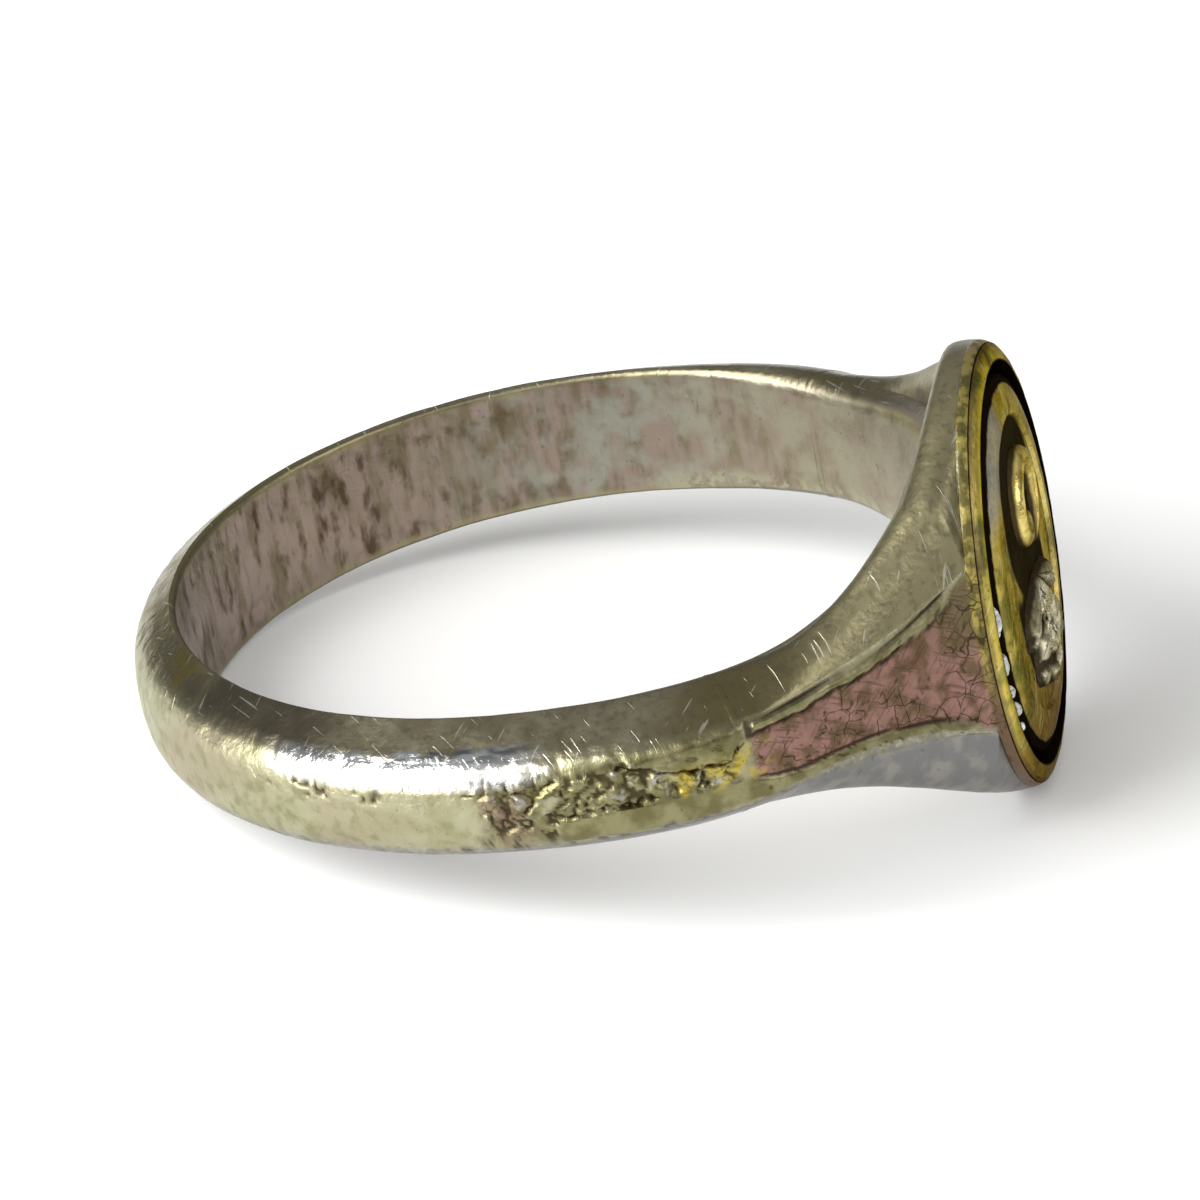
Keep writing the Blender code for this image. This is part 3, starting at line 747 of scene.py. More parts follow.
def make_plaque(material):
    """Oval plate: rounded edge, domed border, flat land, a step down, and the flat field."""
    edge_x = LIP_X - PLAQUE_EDGE_DROP
    land_x = edge_x + BORDER_RISE
    rows = [plaque_row(bed_top_x() + BED_CLEARANCE, 0.0)]
    for i in range(PLAQUE_EDGE_STEPS + 1):
        turn = math.pi / 2 * i / PLAQUE_EDGE_STEPS
        inset = PLAQUE_EDGE_ROUND * (1 - math.cos(turn))
        rows.append(plaque_row(edge_x - PLAQUE_EDGE_ROUND * (1 - math.sin(turn)), inset))
    for i in range(1, PLAQUE_BORDER_STEPS + 1):
        share = i / PLAQUE_BORDER_STEPS
        swell = 4 * (BORDER_BULGE - 0.5) * share * (1 - share)
        inset = blend(PLAQUE_EDGE_ROUND, BORDER_WIDTH, share)
        rows.append(plaque_row(blend(edge_x, land_x, share + swell), inset))
    rows.append(plaque_row(land_x, BORDER_WIDTH + LAND_WIDTH))
    step_in = BORDER_WIDTH + LAND_WIDTH + FIELD_STEP
    rows.append(plaque_row(field_x(), step_in))
    for row in rows[:-1]:
        row[:, 3] = 0.0
    rows[-1][:, 3] = 1.0
    for i in range(1, PLAQUE_STEPS + 1):
        share = 1 - i / PLAQUE_STEPS
        half_width = (OPENING_HALF_WIDTH - PLAQUE_GAP - step_in) * share
        half_height = (OPENING_HALF_HEIGHT - PLAQUE_GAP - step_in) * share
        rows.append(oval(field_x(), half_width, half_height, 1.0 + min(1.0, 3.0 * (1 - share))))
    wear = metal_wear(0.022, per_mm=2.2, seed=7)
    make_piece("plaque", [(rows, True)], [rows[0]], material, wear)


def polar(middle, radius, angle):
    return (middle[0] + radius * math.cos(angle), middle[1] + radius * math.sin(angle))


def make_ornament(name, spots, heights, material, seed, hole_depth):
    """Raised piece with a flat underside; the relief is nothing all round the grid."""
    base = field_x() + ORNAMENT_CLEARANCE
    top = []
    under = []
    tallest = max(max(row) for row in heights)
    for spot_row, height_row in zip(spots, heights):
        top.append([(base + h, y, z, h / tallest) for (y, z), h in zip(spot_row, height_row)])
        under.append([(base, y, z, 0.0) for y, z in spot_row])

    def wear(ring, zone):
        lifted = step(ring[:, 0], base + 0.02, base + 0.12)
        holes = lifted * step(noise(ring, 2.3, seed), 0.56, 0.68)
        relief = lifted * 0.03 * (rough_noise(ring, 3.0, seed) - 0.5) - hole_depth * holes
        return relief, {"along": zone, "holes": holes}

    make_piece(name, [(top, False), (under, False)], [], material, wear)


def make_scroll(material):
    """Curled ridge that winds inwards, with a shallow groove along its back."""
    spots = []
    heights = []
    for i in range(SCROLL_STEPS + 1):
        s = i / SCROLL_STEPS
        angle = blend(*SCROLL_SPAN, s)
        radius = blend(SCROLL_OUTER_RADIUS, SCROLL_INNER_RADIUS, s)
        fullness = max(0.0, math.sin(math.pi * s)) ** SCROLL_TAPER
        spot_row = []
        height_row = []
        for j in range(SCROLL_SIDES + 1):
            t = 2 * j / SCROLL_SIDES - 1
            r = radius + SCROLL_HALF_WIDTH * fullness * t
            spot_row.append(polar(SCROLL_CENTRE, r, angle))
            groove = 1 - SCROLL_GROOVE * math.exp(-((t - SCROLL_GROOVE_PLACE) / SCROLL_GROOVE_WIDTH) ** 2)
            height_row.append(SCROLL_HEIGHT * fullness * groove * math.sqrt(max(0.0, 1 - t * t)))
        spots.append(spot_row)
        heights.append(height_row)
    make_ornament("scroll_ridge", spots, heights, material, 61, 0.0)


def make_leaf(material):
    """Fan of leaf lobes with a rib along each one and slanting veins."""
    steps = LEAF_LOBES * LEAF_STEPS_PER_LOBE
    spots = []
    heights = []
    for i in range(steps + 1):
        u = i / steps
        angle = blend(*LEAF_SPAN, u)
        side = max(0.0, math.sin(math.pi * u))
        lobe = abs(math.sin(math.pi * LEAF_LOBES * u)) ** LEAF_LOBE_POWER
        reach = blend(LEAF_SIDE_REACH, LEAF_REACH, side) * (1 - LEAF_LOBE_DEPTH * (1 - lobe))
        from_rib = abs(math.cos(math.pi * LEAF_LOBES * u))
        spot_row = []
        height_row = []
        for j in range(LEAF_RINGS + 1):
            v = j / LEAF_RINGS
            fold = 1 - LEAF_FOLD_SHARE * (1 - lobe)
            crease = 1 - LEAF_CREASE * math.exp(-(((1 - from_rib) / LEAF_CREASE_WIDTH) ** 2))
            rib = 1 - LEAF_RIB * math.exp(-((from_rib / LEAF_RIB_WIDTH) ** 2))
            veins = max(0.0, math.sin(LEAF_VEIN_RATE * (v - LEAF_VEIN_SLANT * from_rib))) ** 4
            vein = 1 - LEAF_VEIN * veins * float(step(from_rib, 0.1, 0.4))
            rise = v**LEAF_ROOT_RISE * math.sqrt(max(0.0, 1 - v**4)) * side**LEAF_SIDE_RISE
            spot_row.append(polar(LEAF_ROOT, reach * v, angle))
            height_row.append(LEAF_HEIGHT * fold * crease * rib * vein * rise)
        spots.append(spot_row)
        heights.append(height_row)
    make_ornament("leaf_relief", spots, heights, material, 67, LEAF_HOLE_DEPTH)


def make_crumb(number, angle, half_length, half_depth, material):
    """Rounded lump of solder lying along the gap."""
    middle = -PLAQUE_GAP / 2
    half_gap = PLAQUE_GAP / 2 - CRUMB_CLEARANCE
    across_y = OPENING_HALF_WIDTH + middle
    across_z = OPENING_HALF_HEIGHT + middle
    speed = math.hypot(across_y * math.sin(angle), across_z * math.cos(angle))
    rows = []
    for i in range(CRUMB_STEPS + 1):
        turn = math.pi * i / CRUMB_STEPS
        a = angle - half_length * math.cos(turn) / speed
        centre = np.array((LIP_X - CRUMB_BELOW_LIP, across_y * math.cos(a), across_z * math.sin(a), 0.0))
        outward = np.array((0.0, math.cos(a) / across_y, math.sin(a) / across_z, 0.0))
        outward /= np.linalg.norm(outward)
        ripple = 1 + CRUMB_RIPPLE * (math.sin(CRUMB_RIPPLE_RATE * a + number) - 1)
        size = max(0.0, math.sin(turn)) * ripple
        row = []
        for j in range(CRUMB_SIDES):
            spin = 2 * math.pi * j / CRUMB_SIDES
            out = outward * half_gap * math.cos(spin) * size
            row.append(centre + out + np.array((half_depth * math.sin(spin) * size, 0.0, 0.0, 0.0)))
        rows.append(row)
    wear = metal_wear(0.08, per_mm=5.0, seed=90 + number)
    make_piece(f"gap_solder_{number}", [(rows, True)], [], material, wear)


# ---- materials

def fill(tree, node, inputs):
    """Each input takes a number, a colour, a vector or another node's output."""
    for key, value in inputs.items():
        socket = node.inputs[key]
        if isinstance(value, bpy.types.NodeSocket):
            tree.links.new(value, socket)
        elif socket.type == "RGBA":
            socket.default_value = (*value, 1.0)
        else:
            socket.default_value = value


def add_node(tree, kind, inputs, **settings):
    node = tree.nodes.new("ShaderNode" + kind)
    for name, value in settings.items():
        setattr(node, name, value)
    fill(tree, node, inputs)
    return node


class Graph:
    """A material's node tree, with short calls for the nodes used here."""

    def __init__(self, name, metallic, specular=0.5, edge=(1.0, 1.0, 1.0)):
        self.material = bpy.data.materials.new(name)
        self.material.use_nodes = True
        self.tree = self.material.node_tree
        self.shader = self.tree.nodes["Principled BSDF"]
        self.shader.inputs["Metallic"].default_value = metallic
        self.shader.inputs["Specular IOR Level"].default_value = specular
        self.shader.inputs["Specular Tint"].default_value = (*edge, 1.0)
        self.place = add_node(self.tree, "Attribute", {}, attribute_name="ring_mm").outputs["Vector"]
        self.x, self.y, self.z = add_node(self.tree, "SeparateXYZ", {"Vector": self.place}).outputs

    def mask(self, name):
        """A number that the mesh keeps at each of its points."""
        return add_node(self.tree, "Attribute", {}, attribute_name=name).outputs["Fac"]

    def turned(self, rotation, rates):
        """The place in mm, turned and then stretched, so that patterns run along the turned axes."""
        scale = [1 / rate for rate in rates]
        inputs = {"Vector": self.place, "Rotation": rotation, "Scale": scale}
        return add_node(self.tree, "Mapping", inputs, vector_type="TEXTURE").outputs[0]

    def noise(self, per_mm, detail=3.0, vector=None):
        inputs = {"Vector": vector or self.place, "Scale": per_mm, "Detail": detail}
        return add_node(self.tree, "TexNoise", inputs).outputs["Fac"]

    def cloud(self, per_mm, detail, low, high):
        """Patches of noise: 0 where it is below low, 1 where it is above high."""
        return self.span(self.noise(per_mm, detail), low, high)

    def warped(self, per_mm, amount_mm):
        """The place in mm, pushed about by noise so that patterns on it wander."""
        cloud = add_node(self.tree, "TexNoise", {"Vector": self.place, "Scale": per_mm})
        inputs = {0: cloud.outputs["Color"], 1: (amount_mm,) * 3, 2: self.place}
        return add_node(self.tree, "VectorMath", inputs, operation="MULTIPLY_ADD").outputs[0]

    def cracks(self, per_mm, vector):
        inputs = {"Vector": vector, "Scale": per_mm}
        return add_node(self.tree, "TexVoronoi", inputs, feature="DISTANCE_TO_EDGE").outputs["Distance"]

    def math(self, kind, a, b=0.0):
        return add_node(self.tree, "Math", {0: a, 1: b}, operation=kind).outputs[0]

    def times(self, a, b):
        return self.math("MULTIPLY", a, b)

    def plus(self, a, b):
        return self.math("ADD", a, b)

    def span(self, value, low, high, start=0.0, end=1.0):
        """value taken smoothly from low..high to start..end."""
        inputs = {"Value": value, "From Min": low, "From Max": high, "To Min": start, "To Max": end}
        return add_node(self.tree, "MapRange", inputs, interpolation_type="SMOOTHSTEP").outputs[0]

    def away(self, a, b, middle):
        """Distance in a plane from a point to a middle."""
        run = self.plus(a, -middle[0])
        rise = self.plus(b, -middle[1])
        return self.math("SQRT", self.plus(self.times(run, run), self.times(rise, rise)))

    def mix(self, under, over, *shares):
        """One colour over another, by the product of the shares."""
        share = shares[0]
        for factor in shares[1:]:
            share = self.times(share, factor)
        return add_node(self.tree, "Mix", {0: share, 6: under, 7: over}, data_type="RGBA").outputs[2]

    def scratches(self, rotation, rates, thin):
        """Fine straight strokes along one turned axis: 1 on a stroke, 0 off it."""
        strokes = self.noise(1.0, 1.0, self.turned(rotation, rates))
        return self.span(strokes, thin, thin + 0.05)

    def bump(self, height, depth_mm, **before):
        inputs = {"Strength": 1.0, "Distance": depth_mm * MM, "Height": height, **before}
        return add_node(self.tree, "Bump", inputs).outputs[0]

    def finish(self, colour, roughness, normal):
        fill(self.tree, self.shader, {"Base Color": colour, "Roughness": roughness, "Normal": normal})
        return self.material


SILVER_OLIVE = (0.225, 0.20, 0.125)
SILVER_GREY = (0.275, 0.25, 0.17)
SHOULDER_OLIVE = (0.145, 0.12, 0.05)
# Dark side tone, used for random darker patches and for painted shade
SIDE_DARK_AND_PAINTED_SHADE = (0.12, 0.105, 0.07)
HEAD_GREY = (0.275, 0.245, 0.14)
PINK_SIDE = (0.26, 0.21, 0.175)
STEEL = (0.40, 0.42, 0.43)
STEEL_SHADE = (0.13, 0.14, 0.145)
POLISHED = (0.86, 0.86, 0.82)
CREAM = (0.40, 0.385, 0.255)
CREAM_GREEN = (0.33, 0.325, 0.19)
CREAM_SHADE = (0.25, 0.235, 0.13)
CREAM_TAN = (0.37, 0.325, 0.22)
OLIVE_GOLD = (0.19, 0.15, 0.035)
FOOT_BLUE = (0.185, 0.183, 0.18)
FOOT_PALE = (0.26, 0.25, 0.225)
PINK_GREY = (0.30, 0.235, 0.195)
SHADE_BROWN = (0.19, 0.155, 0.10)
BLUE_GREY = (0.32, 0.315, 0.26)
BORE_PALE = (0.37, 0.34, 0.235)
BORE_EDGE = (0.34, 0.31, 0.17)
BROWN = (0.08, 0.05, 0.03)
COPPER_PINK = (0.33, 0.19, 0.155)
COPPER_BROWN = (0.17, 0.11, 0.065)
PLATING_OLIVE = (0.15, 0.135, 0.06)
PLATING_PALE = (0.26, 0.24, 0.125)
YELLOW = (0.46, 0.36, 0.07)
RIM_OLIVE = (0.15, 0.125, 0.045)
RIM_GOLD = (0.38, 0.31, 0.09)
PALE_FLAKE_AND_HIGHLIGHT = (0.38, 0.38, 0.36)
BLACK_GRIME = (0.04, 0.028, 0.014)
DULL_EDGE = (0.25, 0.22, 0.16)
STROKE = (0.62, 0.61, 0.54)
STROKE_GOLD = (0.86, 0.78, 0.5)
GAP_BLACK = (0.012, 0.008, 0.005)
FIELD_BLACK = (0.022, 0.016, 0.008)
BORDER_PAINTED_REFLECTION = (0.46, 0.44, 0.41)
LIP_GOLDS = ((0.64, 0.50, 0.11), (0.52, 0.46, 0.10))
LIP_OLIVE = (0.22, 0.20, 0.06)
LIP_BROWN = (0.24, 0.16, 0.08)
PLAQUE_GOLDS = ((0.62, 0.50, 0.15), (0.42, 0.34, 0.10))
PLAQUE_OLIVE = (0.26, 0.24, 0.09)
PLAQUE_BROWN = (0.34, 0.21, 0.10)
RIDGE_GOLDS = ((0.86, 0.70, 0.24), (0.52, 0.40, 0.12))
LEAF_SILVERS = ((0.58, 0.54, 0.38), (0.36, 0.31, 0.17))
CRUMB_GREYS = ((0.78, 0.78, 0.76), (0.55, 0.54, 0.50))
BED_GREYS = ((0.16, 0.14, 0.11), (0.08, 0.07, 0.05))
FLOOR_PALE = (0.915, 0.915, 0.905)
FLOOR_ROUGHNESS = 0.75
UPRIGHT = (0.0, 0.0, 0.0)


def side_colour(g, wide, medium, headward, foot):
    """Side faces: brownish olive, gold-olive round the back, paler and pinker on the head, blue below, with
    painted shade over the near side towards the back.
    """
    back = g.span(g.plus(g.x, g.times(wide, 2.0)), -5.0, -8.0)
    by_bore = g.span(g.plus(g.away(g.x, g.y, (0.0, 0.0)), g.times(medium, 1.2)), 10.9, 10.2)
    painted_shade = g.span(g.plus(g.y, g.times(medium, 2.0)), -5.0, -6.5)
    side = g.mix(SILVER_OLIVE, SILVER_GREY, g.span(medium, 0.35, 0.65))
    side = g.mix(side, OLIVE_GOLD, back, g.span(medium, 0.3, 0.6))
    side = g.mix(side, SHOULDER_OLIVE, g.span(g.x, 3.8, 5.6), 0.85)
    side = g.mix(side, HEAD_GREY, headward)
    side = g.mix(side, PINK_SIDE, headward, by_bore, 0.8)
    side = g.mix(side, SIDE_DARK_AND_PAINTED_SHADE, g.cloud(5.0, 6.0, 0.48, 0.68), 0.45)
    # Painted shade over the near side face towards the back
    side = g.mix(side, SIDE_DARK_AND_PAINTED_SHADE, g.span(g.x, -2.5, -4.5), painted_shade)
    return g.mix(side, g.mix(FOOT_BLUE, FOOT_PALE, g.cloud(2.0, 4.0, 0.42, 0.66)), foot)


def outside_colour(g, wide, medium, fine):
    """Convex outside: cream with green and tan clouds, bluer at its foot."""
    out = g.mix(CREAM, CREAM_GREEN, g.span(medium, 0.36, 0.64))
    out = g.mix(out, CREAM_TAN, g.span(wide, 0.42, 0.68))
    out = g.mix(out, CREAM_SHADE, g.cloud(2.6, 6.0, 0.46, 0.7), 0.75)
    return g.mix(out, FOOT_BLUE, g.span(g.z, -0.8, -1.05), g.span(fine, 0.35, 0.55), 0.6)


def bore_colour(g, medium):
    """Bore: pinkish grey with streaks up and down, blue-grey clouds, brown spots and pale edges."""
    streaks = g.noise(1.0, 4.0, g.turned(UPRIGHT, (2.6, 2.6, 0.6)))
    spots = g.noise(1.0, 3.0, g.turned(UPRIGHT, (2.2, 2.2, 1.0)))
    edge = g.plus(g.math("ABSOLUTE", g.z), g.times(medium, 0.5))
    flecks = g.times(g.span(g.z, -1.0, -1.5), g.cloud(3.0, 3.0, 0.45, 0.55))
    inner = g.mix(PINK_GREY, SHADE_BROWN, g.span(streaks, 0.4, 0.66))
    inner = g.mix(inner, BLUE_GREY, g.span(medium, 0.4, 0.66), g.span(g.x, -7.0, -1.0))
    inner = g.mix(inner, BROWN, g.span(spots, 0.5, 0.7), g.span(g.x, 2.0, -9.0))
    inner = g.mix(inner, BORE_PALE, g.span(g.x, -1.0, 6.0), g.span(medium, 0.3, 0.6, 0.3, 0.7))
    inner = g.mix(inner, BORE_EDGE, g.span(edge, 1.7, 1.95), 0.7)
    return g.mix(inner, CREAM, flecks, g.span(g.x, -1.0, 2.0))


def plated_colour(g, colour, medium, fine, pink, plating):
    """Copper where the plating has gone, the plating that is left, pale flakes and painted highlights on its
    blister tops, and its yellow end.
    """
    copper = g.mix(COPPER_PINK, COPPER_BROWN, g.cloud(2.1, 5.0, 0.4, 0.62))
    copper = g.mix(copper, PLATING_OLIVE, g.span(g.plus(g.x, g.z), 10.6, 12.2), 0.75)
    plate = g.mix(PLATING_OLIVE, PLATING_PALE, g.cloud(1.7, 5.0, 0.38, 0.64))
    flake_and_highlight = g.mix(CREAM, PALE_FLAKE_AND_HIGHLIGHT, g.span(medium, 0.45, 0.55))
    colour = g.mix(colour, copper, pink)
    colour = g.mix(colour, plate, plating)
    # Pale flakes and painted highlights on the raised blister tops
    colour = g.mix(colour, flake_and_highlight, g.mask("blisters"), g.cloud(2.4, 3.0, 0.46, 0.62), 0.85)
    return g.mix(colour, YELLOW, g.mask("yellow"), g.span(fine, 0.3, 0.5))


def polished_colour(g, colour, polish, flank):
    """Bright where the crease is rubbed, streaked like steel on the side face."""
    streaks = g.noise(1.0, 3.0, g.turned(UPRIGHT, (1.2, 1.2, 9.0)))
    steel = g.mix(STEEL, STEEL_SHADE, g.span(streaks, 0.42, 0.58))
    return g.mix(colour, g.mix(POLISHED, steel, flank), polish)


def rim_colour(g, colour, medium):
    """Gilding that creeps over the rim, gold above and brown below."""
    rim = g.span(g.plus(g.x, g.times(medium, 0.2)), 11.12, 11.22)
    gold = g.mix(RIM_OLIVE, RIM_GOLD, g.cloud(2.4, 4.0, 0.45, 0.6))
    return g.mix(colour, g.mix(COPPER_BROWN, gold, g.span(g.z, -1.8, 0.5)), rim)


def body_dirt(g, pink):
    """Grime in the relief, cracks through the bare copper, and small pits."""
    cracked = g.span(g.cracks(1.9, g.warped(1.6, 0.5)), 0.03, 0.01)
    cracked = g.times(cracked, g.times(pink, g.cloud(0.9, 3.0, 0.44, 0.52)))
    dirt = g.plus(g.mask("grime"), g.times(cracked, 0.7))
    pits = g.cloud(5.5, 2.0, 0.68, 0.74)
    return g.math("MINIMUM", g.plus(dirt, g.times(pits, 0.3)), 0.82)


def body_metal(name):
    """Worn silver alloy: bore, side faces, convex outside, coppery facets and torn plating."""
    g = Graph(name, 1.0)
    bore, flank, outer = (g.mask(key) for key in ("bore", "flank", "outer"))
    pink, plating, polish = (g.mask(key) for key in ("pink", "plating", "polish"))
    wide = g.noise(0.33, 3.0)
    medium = g.noise(1.3, 4.0)
    fine = g.noise(7.0, 4.0)
    headward = g.span(g.x, 6.0, 9.0)
    foot = g.span(g.z, -0.4, -0.9)
    side = side_colour(g, wide, medium, headward, foot)
    colour = g.mix(side, outside_colour(g, wide, medium, fine), outer)
    colour = g.mix(colour, bore_colour(g, medium), bore)
    # Painted shade along the rounded edge between the bore and the side faces
    colour = g.mix(colour, SIDE_DARK_AND_PAINTED_SHADE, g.math("MINIMUM", g.times(g.times(bore, flank), 3.0), 0.7))
    colour = plated_colour(g, colour, medium, fine, pink, plating)
    colour = polished_colour(g, colour, polish, flank)
    colour = rim_colour(g, colour, medium)
    dirt = body_dirt(g, pink)
    colour = g.mix(colour, BLACK_GRIME, dirt)

    steep = g.scratches((0.0, 0.0, 0.75), (14.0, 0.9, 0.7), 0.69)
    level = g.scratches((0.0, 0.0, -0.4), (11.0, 0.8, 0.7), 0.71)
    strokes = g.math("MAXIMUM", steep, level)
    colour = g.mix(colour, STROKE, strokes, flank, g.span(foot, 1.0, 0.0, 0.0, 0.5))
    rising = g.scratches((0.7, 0.0, -FACET_TURN), (0.9, 1.1, 12.0), 0.6)
    falling = g.scratches((-0.5, 0.0, -FACET_TURN), (0.9, 1.0, 11.0), 0.6)
    hair = g.times(g.math("MAXIMUM", rising, falling), pink)
    colour = g.mix(colour, BROWN, hair, 0.42)

    roughness = g.span(medium, 0.3, 0.7, 0.22, 0.32)
    changes = ((plating, -0.06), (bore, 0.1), (headward, 0.1), (outer, 0.12), (dirt, 0.25), (pink, 0.12))
    for mask, change in changes:
        roughness = g.plus(roughness, g.times(mask, change))
    roughness = g.math("MAXIMUM", g.plus(roughness, g.times(polish, -0.2)), 0.14)
    dents = g.bump(g.times(g.noise(2.2, 4.0), g.span(outer, 0.0, 1.0, 0.3, 1.0)), 0.07)
    grain = g.plus(fine, g.times(g.math("MAXIMUM", strokes, hair), -0.5))
    return g.finish(colour, roughness, g.bump(grain, 0.012, Normal=dents))


def gilt(name, golds, olive, brown, smooth):
    """Worn gilding: two golds, olive and brown tarnish, fine scratches."""
    g = Graph(name, 1.0, edge=DULL_EDGE)
    medium = g.noise(1.6, 4.0)
    fine = g.noise(6.0, 4.0)
    strokes = g.scratches((0.9, 0.0, 0.0), (0.8, 0.8, 12.0), 0.64)
    colour = g.mix(*golds, g.span(medium, 0.38, 0.62))
    colour = g.mix(colour, olive, g.cloud(0.8, 3.0, 0.5, 0.66))
    colour = g.mix(colour, brown, g.span(g.plus(g.z, g.times(medium, 2.0)), 0.0, -3.0), 0.7)
    colour = g.mix(colour, BLACK_GRIME, g.span(fine, 0.6, 0.7), 0.5)
    colour = g.mix(colour, STROKE_GOLD, strokes, 0.4)
    roughness = g.plus(g.span(fine, 0.35, 0.7, smooth, smooth + 0.2), g.times(strokes, 0.1))
    return g, colour, roughness, g.bump(g.plus(medium, g.times(fine, 0.4)), 0.03)


def lip_gilt():
    """Gilt lip: coppery towards its foot, a dark seam beside the silver, black down in the gap."""
    g, colour, roughness, normal = gilt("lip gilt", LIP_GOLDS, LIP_OLIVE, LIP_BROWN, 0.28)
    along = g.mask("along")
    low = g.span(g.plus(along, g.times(g.noise(2.5, 3.0), 0.4)), 0.6, 0.4)
    deep = g.span(along, 0.86, 0.97)
    colour = g.mix(colour, COPPER_BROWN, low, 0.6)
    colour = g.mix(colour, BLACK_GRIME, g.span(along, 0.1, 0.02), 0.85)
    colour = g.mix(colour, GAP_BLACK, deep)
    return g.finish(colour, g.plus(roughness, g.times(deep, 0.4)), normal)


def plaque_gilt():
    """Gilt plaque: a painted pale reflection high on its border, dark field round the ornaments, black in
    the gap.
    """
    g, colour, roughness, normal = gilt("plaque gilt", PLAQUE_GOLDS, PLAQUE_OLIVE, PLAQUE_BROWN, 0.26)
    inner = g.mask("along")
    by_scroll = g.away(g.y, g.z, SCROLL_CENTRE)
    by_scroll = g.span(by_scroll, SCROLL_OUTER_RADIUS + 0.85, SCROLL_OUTER_RADIUS + 0.65)
    stretched = g.times(g.y, LEAF_REACH / (LEAF_SIDE_REACH + 0.2))
    by_leaf = g.span(g.away(stretched, g.z, LEAF_ROOT), LEAF_REACH + 0.05, LEAF_REACH - 0.2)
    by_leaf = g.times(by_leaf, g.span(g.plus(g.z, g.times(g.noise(1.5, 3.0), 0.8)), 0.6, -0.1))
    field = g.times(g.span(inner, 0.3, 0.9), g.math("MAXIMUM", by_scroll, by_leaf))
    ragged = g.plus(g.x, g.times(g.noise(2.0, 3.0), 0.05))
    deep = g.span(ragged, LIP_X + 0.06, LIP_X + 0.03)
    # Painted reflection, pale, over the upper part of the plaque
    colour = g.mix(colour, BORDER_PAINTED_REFLECTION, g.span(g.z, 2.0, 2.9), g.span(g.y, 0.2, -1.0), 0.7)
    colour = g.mix(colour, FIELD_BLACK, field, 0.97)
    colour = g.mix(colour, GAP_BLACK, deep, g.span(inner, 0.2, 0.0))
    dull = g.math("MAXIMUM", deep, field)
    return g.finish(colour, g.plus(roughness, g.times(dull, 0.4)), normal)


def ornament_metal(name, colours, smooth, holed):
    """Raised ornament: bright on its back, dark at its foot and in its folds and holes."""
    g = Graph(name, 1.0, edge=DULL_EDGE)
    medium = g.noise(2.0, 4.0)
    fine = g.noise(8.0, 4.0)
    dark = g.span(g.plus(g.mask("along"), g.times(medium, 0.5)), 0.86, 0.5)
    dark = g.math("MAXIMUM", dark, g.times(g.mask("holes"), holed))
    colour = g.mix(g.mix(*colours, g.span(medium, 0.42, 0.65)), BLACK_GRIME, dark, 0.95)
    roughness = g.plus(g.span(fine, 0.3, 0.7, smooth, smooth + 0.16), g.times(dark, 0.3))
    return g.finish(colour, roughness, g.bump(fine, 0.02))


def solder_metal(name, colours, rough):
    g = Graph(name, 1.0)
    medium = g.noise(3.0, 4.0)
    fine = g.noise(11.0, 4.0)
    colour = g.mix(*colours, g.span(medium, 0.42, 0.62))
    colour = g.mix(colour, BLACK_GRIME, g.span(fine, 0.58, 0.68), 0.6)
    return g.finish(colour, g.span(fine, 0.3, 0.7, rough, rough + 0.2), g.bump(g.plus(medium, fine), 0.04))


def floor_material():
    g = Graph("pale floor", 0.0, 0.1)
    fill(g.tree, g.shader, {"Base Color": FLOOR_PALE, "Roughness": FLOOR_ROUGHNESS})
    return g.material


# ---- stage, light and camera

FLOOR_HALF = 1.5
WORLD_HEIGHTS = (0.1, 0.9)
WORLD_STRENGTHS = (0.26, 0.55)

# Each light's name, direction in the ring's frame, distance and size in m, and power in W
LIGHTS = (
    ("key", (-0.575, -0.51, 0.64), 0.34, (0.25, 0.28), 1.85),
    ("front_fill", (0.1, -0.8, 0.6), 0.5, (0.5, 0.4), 0.5),
    ("left_fill", (-0.9, -0.6, 0.3), 0.45, (0.4, 0.25), 0.9),
    ("head_light", (0.9, -0.2, 0.35), 0.4, (0.25, 0.2), 0.32),
)


def make_floor():
    mesh = bpy.data.meshes.new("studio_floor")
    corners = [(x * FLOOR_HALF, y * FLOOR_HALF, 0) for x, y in ((-1, -1), (1, -1), (1, 1), (-1, 1))]
    mesh.from_pydata(corners, [], [(0, 1, 2, 3)])
    mesh.materials.append(floor_material())
    add_object("studio_floor", mesh)


def make_light(name, direction, distance, size, power):
    """Soft light that stands off in a direction of the ring's frame and faces the ring."""
    light = bpy.data.lights.new(name, "AREA")
    light.shape = "RECTANGLE"
    light.size, light.size_y = size
    light.energy = power
    lamp = add_object(name, light)
    towards = (RING.to_3x3() @ Vector(direction)).normalized()
    lamp.location = RING.translation + towards * distance
    lamp.rotation_euler = towards.to_track_quat("Z", "Y").to_euler()


def make_world():
    """Bright above, darker towards the horizon, as in a room with one large soft light."""
    world = bpy.data.worlds.new("studio")
    world.use_nodes = True
    tree = world.node_tree
    place = add_node(tree, "TexCoord", {}).outputs["Generated"]
    inputs = {"Value": add_node(tree, "SeparateXYZ", {"Vector": place}).outputs["Z"]}
    inputs["From Min"], inputs["From Max"] = WORLD_HEIGHTS
    inputs["To Min"], inputs["To Max"] = WORLD_STRENGTHS
    strength = add_node(tree, "MapRange", inputs, interpolation_type="SMOOTHSTEP").outputs[0]
    fill(tree, tree.nodes["Background"], {"Color": (1.0, 1.0, 1.0), "Strength": strength})
    bpy.context.scene.world = world


CAMERA_AZIMUTH = math.radians(15.6)
CAMERA_ELEVATION = math.radians(25.0)
CAMERA_ROLL = math.radians(-11.1)
CAMERA_DISTANCE = 144.6
CAMERA_LENS = 175.0
CAMERA_SHIFT = (0.0285, -0.0025)


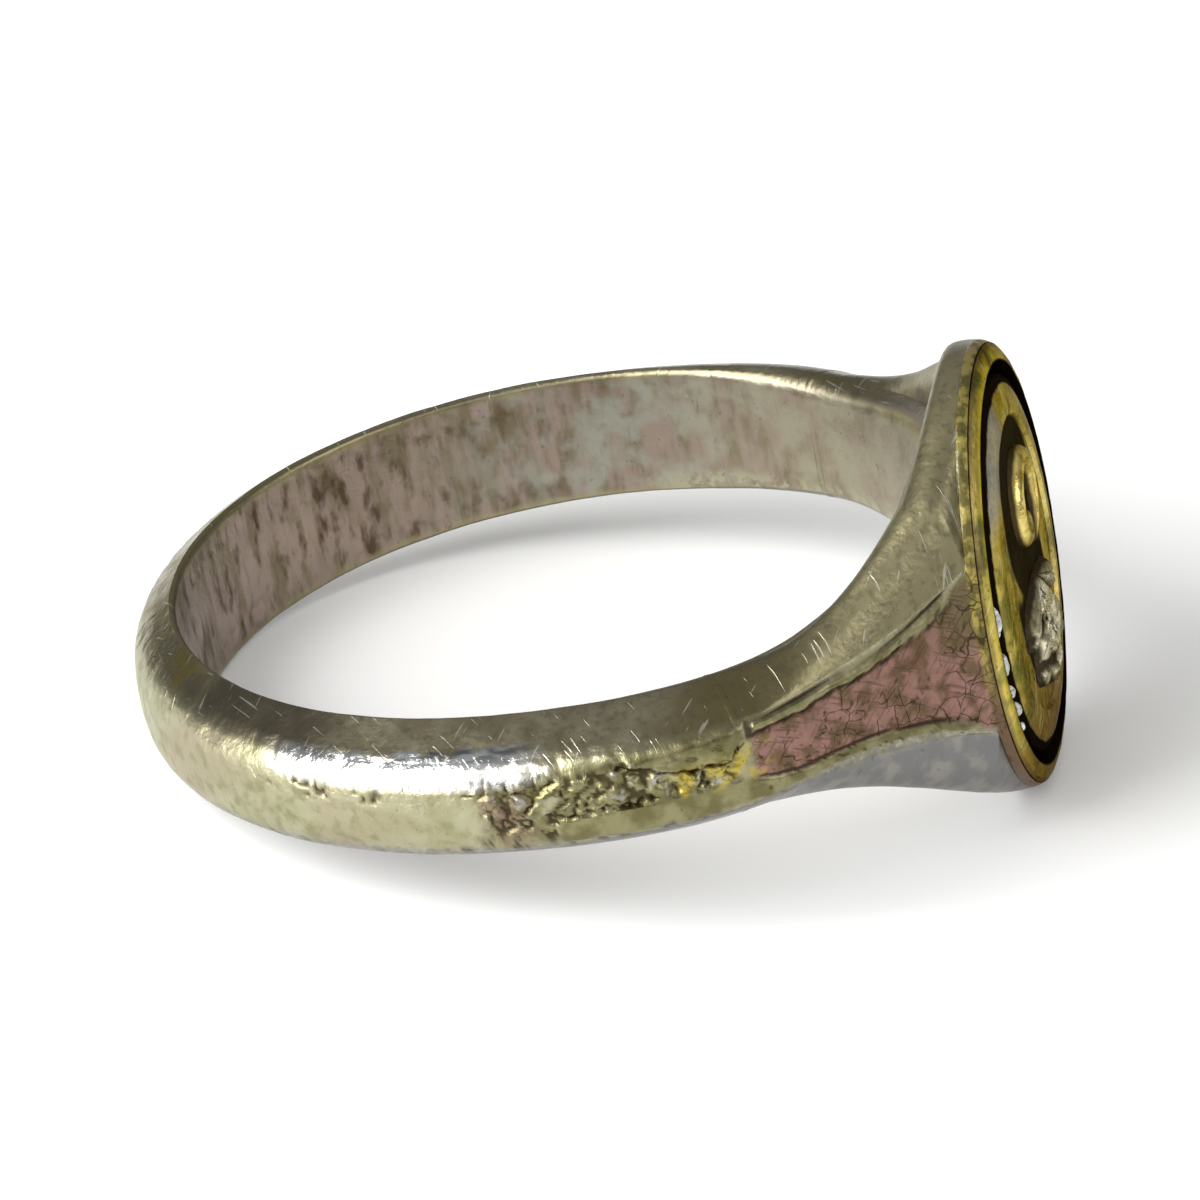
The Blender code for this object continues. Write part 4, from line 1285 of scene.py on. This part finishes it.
def make_camera():
    """Camera on a line from the bore's middle, turned about its own axis by the roll."""
    right = Vector((math.cos(CAMERA_AZIMUTH), math.sin(CAMERA_AZIMUTH), 0.0))
    level = Vector((right.y, -right.x, 0.0))
    towards = level * math.cos(CAMERA_ELEVATION) + Vector((0.0, 0.0, math.sin(CAMERA_ELEVATION)))
    up = towards.cross(right)
    turned_right = right * math.cos(CAMERA_ROLL) + up * math.sin(CAMERA_ROLL)
    turned_up = up * math.cos(CAMERA_ROLL) - right * math.sin(CAMERA_ROLL)
    turn = Matrix((turned_right, turned_up, towards)).transposed().to_4x4()
    camera = bpy.data.cameras.new("camera")
    camera.sensor_width = 36.0
    camera.lens = CAMERA_LENS
    camera.shift_x, camera.shift_y = CAMERA_SHIFT
    camera.clip_start = 0.01
    holder = add_object("camera", camera)
    holder.matrix_world = RING @ Matrix.Translation(towards * CAMERA_DISTANCE * MM) @ turn
    bpy.context.scene.camera = holder


def dress_bed():
    """The solder bed lies hidden in the well, so its CAD node stays and takes the dark solder."""
    bed = frame["nodes"]["plaque_bed_solder"]
    add_values(bed.data, "ring_mm", np.array([RING.inverted() @ v.co for v in bed.data.vertices]) / MM)
    bed.data.materials.clear()
    bed.data.materials.append(solder_metal("dark bed solder", BED_GREYS, 0.5))


def main():
    body = body_metal("worn silver alloy")
    seam = body_metal("seam solder")
    crumb = solder_metal("pale solder crumbs", CRUMB_GREYS, 0.45)
    make_band(body)
    make_head(body)
    make_joint_solder("shoulder_solder_near", -1, seam)
    make_joint_solder("shoulder_solder_far", 1, seam)
    make_collar(lip_gilt())
    make_plaque(plaque_gilt())
    make_scroll(ornament_metal("bright gilt ridge", RIDGE_GOLDS, smooth=0.16, holed=0.0))
    make_leaf(ornament_metal("silver leaf", LEAF_SILVERS, smooth=0.2, holed=1.0))
    for number, (angle, half_length, half_depth) in enumerate(CRUMBS, 1):
        make_crumb(number, angle, half_length, half_depth, crumb)
    dress_bed()
    make_floor()
    make_world()
    for light in LIGHTS:
        make_light(*light)
    make_camera()
    bpy.context.scene.view_settings.view_transform = "Standard"


main()
